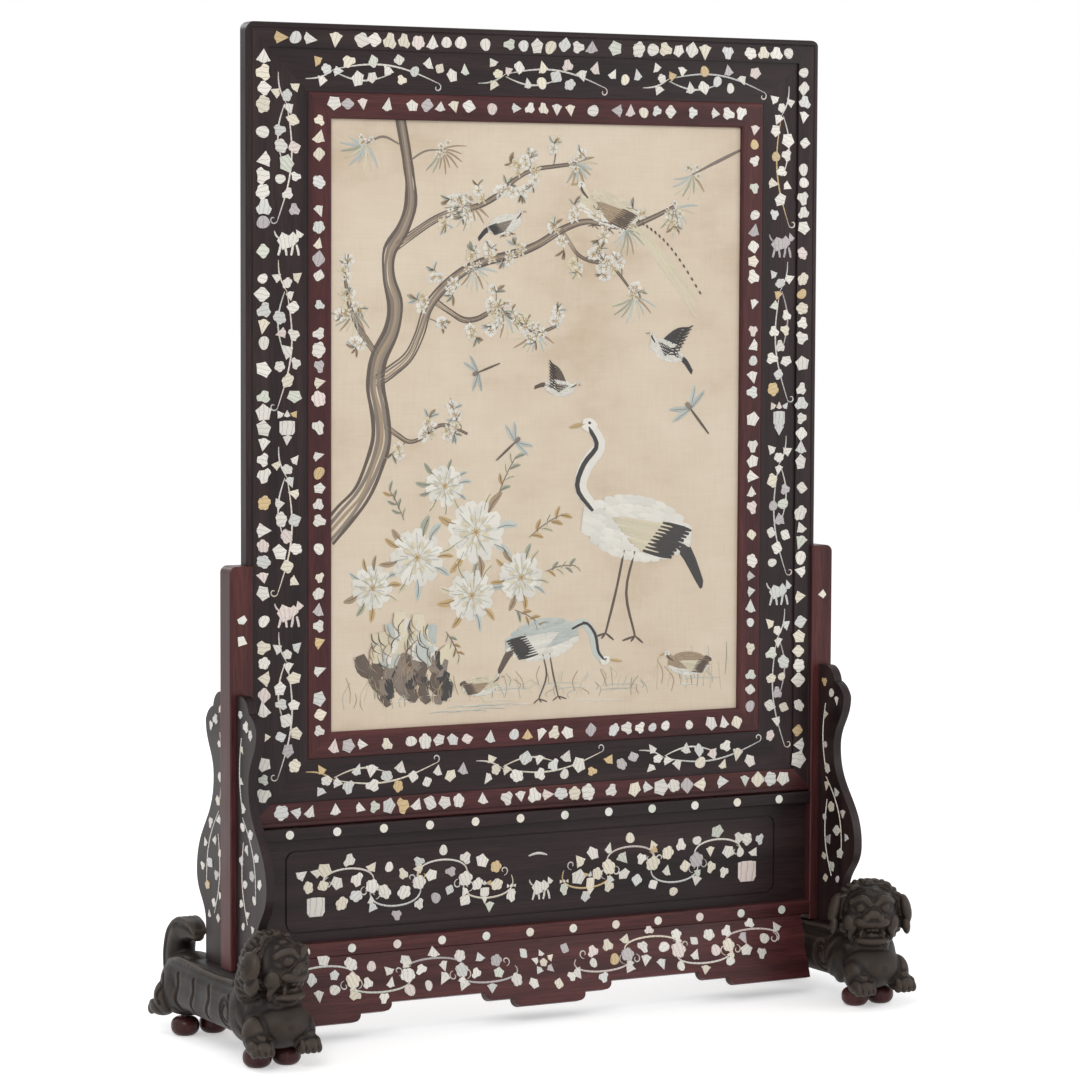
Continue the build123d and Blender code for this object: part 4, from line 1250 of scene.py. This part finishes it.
# %% The old tree
def bough(points, start_width, end_width, strands=5):
    """A branch of parallel bands that narrow towards its end; returns its path."""
    path = along(points)
    steps = 9 * len(points)
    for k in range(strands):
        offset = (k - (strands - 1) / 2) / strands
        tone = (brown, bark_grey, tan, bark_grey, brown)[k % 5]
        spots = []
        for i in range(2 * len(points)):
            t = i / (2 * len(points) - 1)
            here = Vector(path(t)) / mm
            ahead = Vector(path(min(1, t + 0.02))) / mm - Vector(path(max(0, t - 0.02))) / mm
            side = Vector((-ahead.y, ahead.x)).normalized()
            wide = start_width + (end_width - start_width) * t
            spots.append(here + side * wide * (offset + needle.uniform(-0.06, 0.06)))
        width = (start_width + end_width) / strands * 0.75
        patch([tuple(s) for s in spots], width, tone, 0.55, steps, 0.05 * (k % 2))
    return path


bough(((-203, -92), (-168, -54), (-150, -6), (-158, 44), (-138, 92), (-146, 140), (-124, 184), (-134, 259)),
      23, 8)
boughs = [bough(points, thick, thin) for points, thick, thin in (
    (((-158, 36), (-124, 60), (-104, 104), (-66, 134), (-14, 148), (38, 172), (84, 168), (132, 186)), 12, 3),
    (((-138, 150), (-96, 176), (-52, 188), (-14, 214), (34, 222)), 8, 2.5),
    (((-100, 104), (-70, 88), (-40, 96), (-6, 78), (18, 84)), 6, 2),
    (((-156, 60), (-178, 92), (-186, 130)), 6, 2.5),
    (((-148, 0), (-122, -14), (-96, 0), (-70, -8)), 5, 2),
    (((20, 166), (40, 142), (70, 134), (92, 110)), 4, 1.8))]
for b, path in enumerate(boughs):
    twigs = (16, 12, 8, 5, 6, 7)[b]
    for i in range(twigs):
        t = 0.22 + 0.78 * (i + needle.uniform(0, 0.6)) / twigs
        x, y = Vector(path(min(1.0, t))) / mm
        angle = needle.uniform(20, 160) * (1 if i % 3 else -1)
        reach = needle.uniform(9, 20)
        middle_x, middle_y = away(x, y, angle, reach * 0.5)
        tip = away(x, y, angle, reach)
        patch(((x, y), (middle_x + 2, middle_y), tip), 1.2, bark_grey, 0.4, 6)
        for k in range(needle.randint(2, 4)):
            here_x, here_y = away(x, y, angle, reach * needle.uniform(0.35, 1.1))
            spread_x, spread_y = needle.uniform(-4, 4), needle.uniform(-4, 4)
            blossom(here_x + spread_x, here_y + spread_y, needle.uniform(4.4, 6.4),
                    needle.choice((white, white, cream)))
        for k in range(4):
            leaf(*tip, needle.uniform(6, 10), angle + needle.uniform(-80, 80),
                 needle.choice((sage, mist, tan)))
tufts = ((-36, 96, -80), (84, 166, -70), (132, 184, -60), (-6, 78, -95), (-70, 188, -100),
         (92, 108, -90), (-178, 96, -110), (-66, 132, -75), (34, 222, -50), (-166, 236, -130),
         (-96, 232, -60), (150, 214, -100))
for x, y, angle in tufts:
    for k in range(9):
        petal(x, y, needle.uniform(16, 25), 2.6, angle + 17 * (k - 4),
              needle.choice((sage, mist, cream, tan)), bend=0.06)
    for k in range(5):
        blossom(x + needle.uniform(-7, 7), y + needle.uniform(-5, 7), 3.4)
for twig, width in ((((203, 238), (176, 226), (150, 214)), 3.2),
                    (((-131, 218), (-112, 230), (-96, 232)), 2.2),
                    (((-135, 236), (-150, 242), (-166, 236)), 2.0)):
    patch(twig, width, bark_grey, 0.5, 8)
sewn("embroidered_tree")

# %% [markdown]
# Under the tree stand a rock and a bank of peonies, with grasses and lines of water along the foot. The
# rock is short upright bands: dark ones with light contours below, pale ones with dark contours above.

# %% Rock, peonies and grasses
rock_tones = ((brown, bark_grey, ink), (bark_grey, tan)), ((mist, cream, white), (brown, tan))
for i in range(64):
    level = i / 64
    x = -126 + needle.uniform(-44, 44) * (1 - 0.45 * level)
    y = -238 + 62 * level
    length, angle = needle.uniform(13, 22), needle.uniform(50, 130)
    body, edge = rock_tones[level >= 0.5]
    petal(x, y, length, needle.uniform(9, 14), angle, needle.choice(body), 0.15, 0.1 * (i % 4), 0.5)
    petal(x - 5, y + 2, length * 0.9, 1.2, angle + 8, needle.choice(edge), 0.2, 0.1 * (i % 4) + 0.5)
peonies = ((-62, -92, 27), (-118, -112, 25), (-18, -132, 21), (-92, -52, 18), (-160, -136, 19),
           (-66, -146, 22))
for x, y, radius in peonies:
    for i in range(9):
        angle = 40 * i + needle.uniform(-14, 14)
        leaf(*away(x, y, angle, radius * 0.75), radius * needle.uniform(0.55, 0.8), angle,
             needle.choice((sage, ochre, cream, tan, mist)))
    peony(x, y, radius)
for place in ((-40, -60, 62, 36), (-10, -98, 30, 38), (-24, -160, -30, 34), (-130, -80, 118, 30),
              (-90, -176, -60, 26), (6, -128, 8, 30)):
    spray(*place, (sage, cream, ochre))
for i in range(90):
    x = -185 + 370 * i / 89 + needle.uniform(-3, 3)
    height = needle.uniform(8, 26) * (1.2 if abs(x) > 110 else 0.7)
    y = -240 + needle.uniform(0, 16)
    blade = ((x, y), (x + needle.uniform(-3, 3), y + height / 2), (x + needle.uniform(-8, 8), y + height))
    patch(blade, needle.uniform(0.7, 1.3), needle.choice((mist, sage, cream, tan)), 0.2, 5)
for i in range(26):
    x, y = needle.uniform(-150, 150), needle.uniform(-246, -226)
    water = ((x, y), (x + 11, y + 1), (x + needle.uniform(18, 40), y))
    patch(water, 1.0, needle.choice((mist, white)), 0.2, 6)
sewn("embroidered_flowers")

# %% [markdown]
# A bird is rows of short feathers that overlap towards the tail, long wing and tail feathers over them, a
# neck of two bands, and single threads for the bill, the eye and the legs. One function makes every bird
# from its size, the way it faces, its neck line and its tail. A dragonfly is four wings and a thin body.

# %% Birds
def bird(x, y, size, hand, neck, tail, legs=0.0, back=white, wing=cream, dark=ink, lean=0.0, spread=0.0):
    """x, y is the middle of the body; lean turns the bird, spread opens the wing upwards."""
    c, s = cos(lean), sin(lean)

    def at(u, v):
        return (x + hand * size * (u * c - v * s), y + size * (u * s + v * c))

    def plume(u0, v0, u1, v1, width, tone, lift=0.2, taper=0.15, bow=0.0):
        middle = ((u0 + u1) / 2, (v0 + v1) / 2 + bow)
        patch((at(u0, v0), at(*middle), at(u1, v1)), width * size, tone, taper, 7, lift)

    count, length, droop, tail_tone = tail
    for i in range(count):
        share = i / max(1, count - 1) - 0.5
        plume(-0.2, -0.02 + 0.04 * share, -0.24 - length, -0.05 - droop + 0.16 * share * length, 0.045,
              tail_tone, 0.1, 0.25, 0.05)
    for row in range(7):
        for column in range(11):
            u = 0.29 - 0.055 * column
            half = 0.14 * (1 - abs((u - 0.02) / 0.31) ** 2.2) ** 0.8
            v = half * (row - 3) / 3 + 0.03 * u
            tone = back if row > 1 else white
            plume(u, v, u - 0.085, v - 0.012, 0.05, tone, 0.12 + 0.03 * (column % 3), 0.35)
    for i in range(9):
        rise = 0.05 - 0.018 * i
        plume(0.14 - 0.02 * i, rise, -0.3 + 0.01 * i, rise - 0.03 + spread * (0.5 - 0.05 * i), 0.042,
              wing, 0.42, 0.3, spread * 0.1)
        plume(-0.17 + 0.012 * i, rise - 0.015 + spread * (0.34 - 0.035 * i), -0.34 + 0.012 * i,
              rise - 0.035 + spread * (0.56 - 0.05 * i), 0.03, dark, 0.62, 0.3)
    for i in range(6):
        plume(0.17 - 0.045 * i, 0.075 - 0.004 * i, 0.08 - 0.05 * i, 0.05 + spread * 0.1, 0.045, back,
              0.75, 0.3)
    patch([at(u, v) for u, v in neck], 0.075 * size, back, 0.55, 14, 0.3)
    patch([at(u + 0.016, v - 0.004) for u, v in neck], 0.032 * size, dark, 0.5, 14, 0.65)
    (u0, v0), (u1, v1) = neck[-2], neck[-1]
    ahead = 0.6 if (v1 - v0) / hypot(u1 - u0, v1 - v0) > 0.5 else 1.0
    plume(u1 - 0.03, v1 - 0.005, u1 + 0.055, v1 + 0.012, 0.07, white, 0.6, 0.4)
    plume(u1 + 0.04, v1 + 0.008, u1 + 0.06 + 0.1 * ahead, v1 - 0.02, 0.02, ochre, 0.7, 0.2)
    plume(u1 + 0.008, v1 + 0.014, u1 + 0.022, v1 + 0.016, 0.014, ink, 1.1, 0.6)
    if legs:
        for offset, step in ((0.03, 0.05), (-0.03, -0.06)):
            leg = (at(offset, -0.12), at(offset + 0.02, -0.12 - legs / 2), at(offset + step, -0.12 - legs))
            patch(leg, 0.016 * size, brown, 0.6, 8, 0.15)
            for toe in (-0.05, 0.02, 0.07):
                plume(offset + step, -0.12 - legs, offset + step + toe, -0.15 - legs, 0.012, brown, 0.15, 0.4)


tall_neck = ((0.22, 0.06), (0.32, 0.16), (0.30, 0.28), (0.24, 0.38), (0.30, 0.47))
low_neck = ((0.22, 0.05), (0.34, 0.08), (0.42, -0.02), (0.44, -0.16), (0.50, -0.24))
short_neck = ((0.2, 0.05), (0.27, 0.1), (0.3, 0.14))
bird(92, -92, 175, -1, tall_neck, (11, 0.2, 0.2, ink), 0.42, white, cream, lean=0.13)
bird(6, -186, 112, 1, low_neck, (9, 0.18, 0.16, brown), 0.34, mist, white, lean=0.08)
bird(64, 184, 92, -1, short_neck, (3, 0.95, 0.62, cream), 0.06, cream, tan, brown, 0.25)
for i in range(16):
    t = i / 15
    petal(96 + 62 * t, 175 - 62 * t + 9 * sin(pi * t), 3.4, 2.0, -60, brown, lift=0.5, steps=3)
bird(-34, 170, 52, 1, short_neck, (5, 0.3, 0.1, ink), 0.05, white, bark_grey, ink, 0.2)
bird(124, 62, 56, -1, short_neck, (6, 0.34, 0.12, ink), 0, white, ink, ink, 0.35, 0.9)
bird(20, 30, 46, 1, short_neck, (6, 0.3, 0.05, brown), 0, white, brown, ink, -0.2, 0.8)
bird(148, -214, 66, -1, short_neck, (6, 0.14, -0.08, brown), 0, tan, cream, brown)
bird(-56, -224, 54, 1, short_neck, (6, 0.14, -0.08, brown), 0, cream, tan, brown)


def dragonfly(x, y, size, lean):
    for side in (-1, 1):
        for spread in (52, 82):
            petal(x, y, size * 0.62, size * 0.15, lean + side * spread, mist, lift=0.2)
            petal(x, y, size * 0.55, 0.6, lean + side * spread, bark_grey, lift=0.6, steps=4)
    petal(x, y, size * 0.85, size * 0.07, lean + 180, brown, lift=0.5, taper=0.4)
    petal(x, y, size * 0.2, size * 0.14, lean, bark_grey, lift=0.6, taper=0.6)


dragonfly(150, 10, 34, 130)
dragonfly(-24, -16, 28, 40)
dragonfly(-60, 44, 26, 200)
sewn("embroidered_birds")
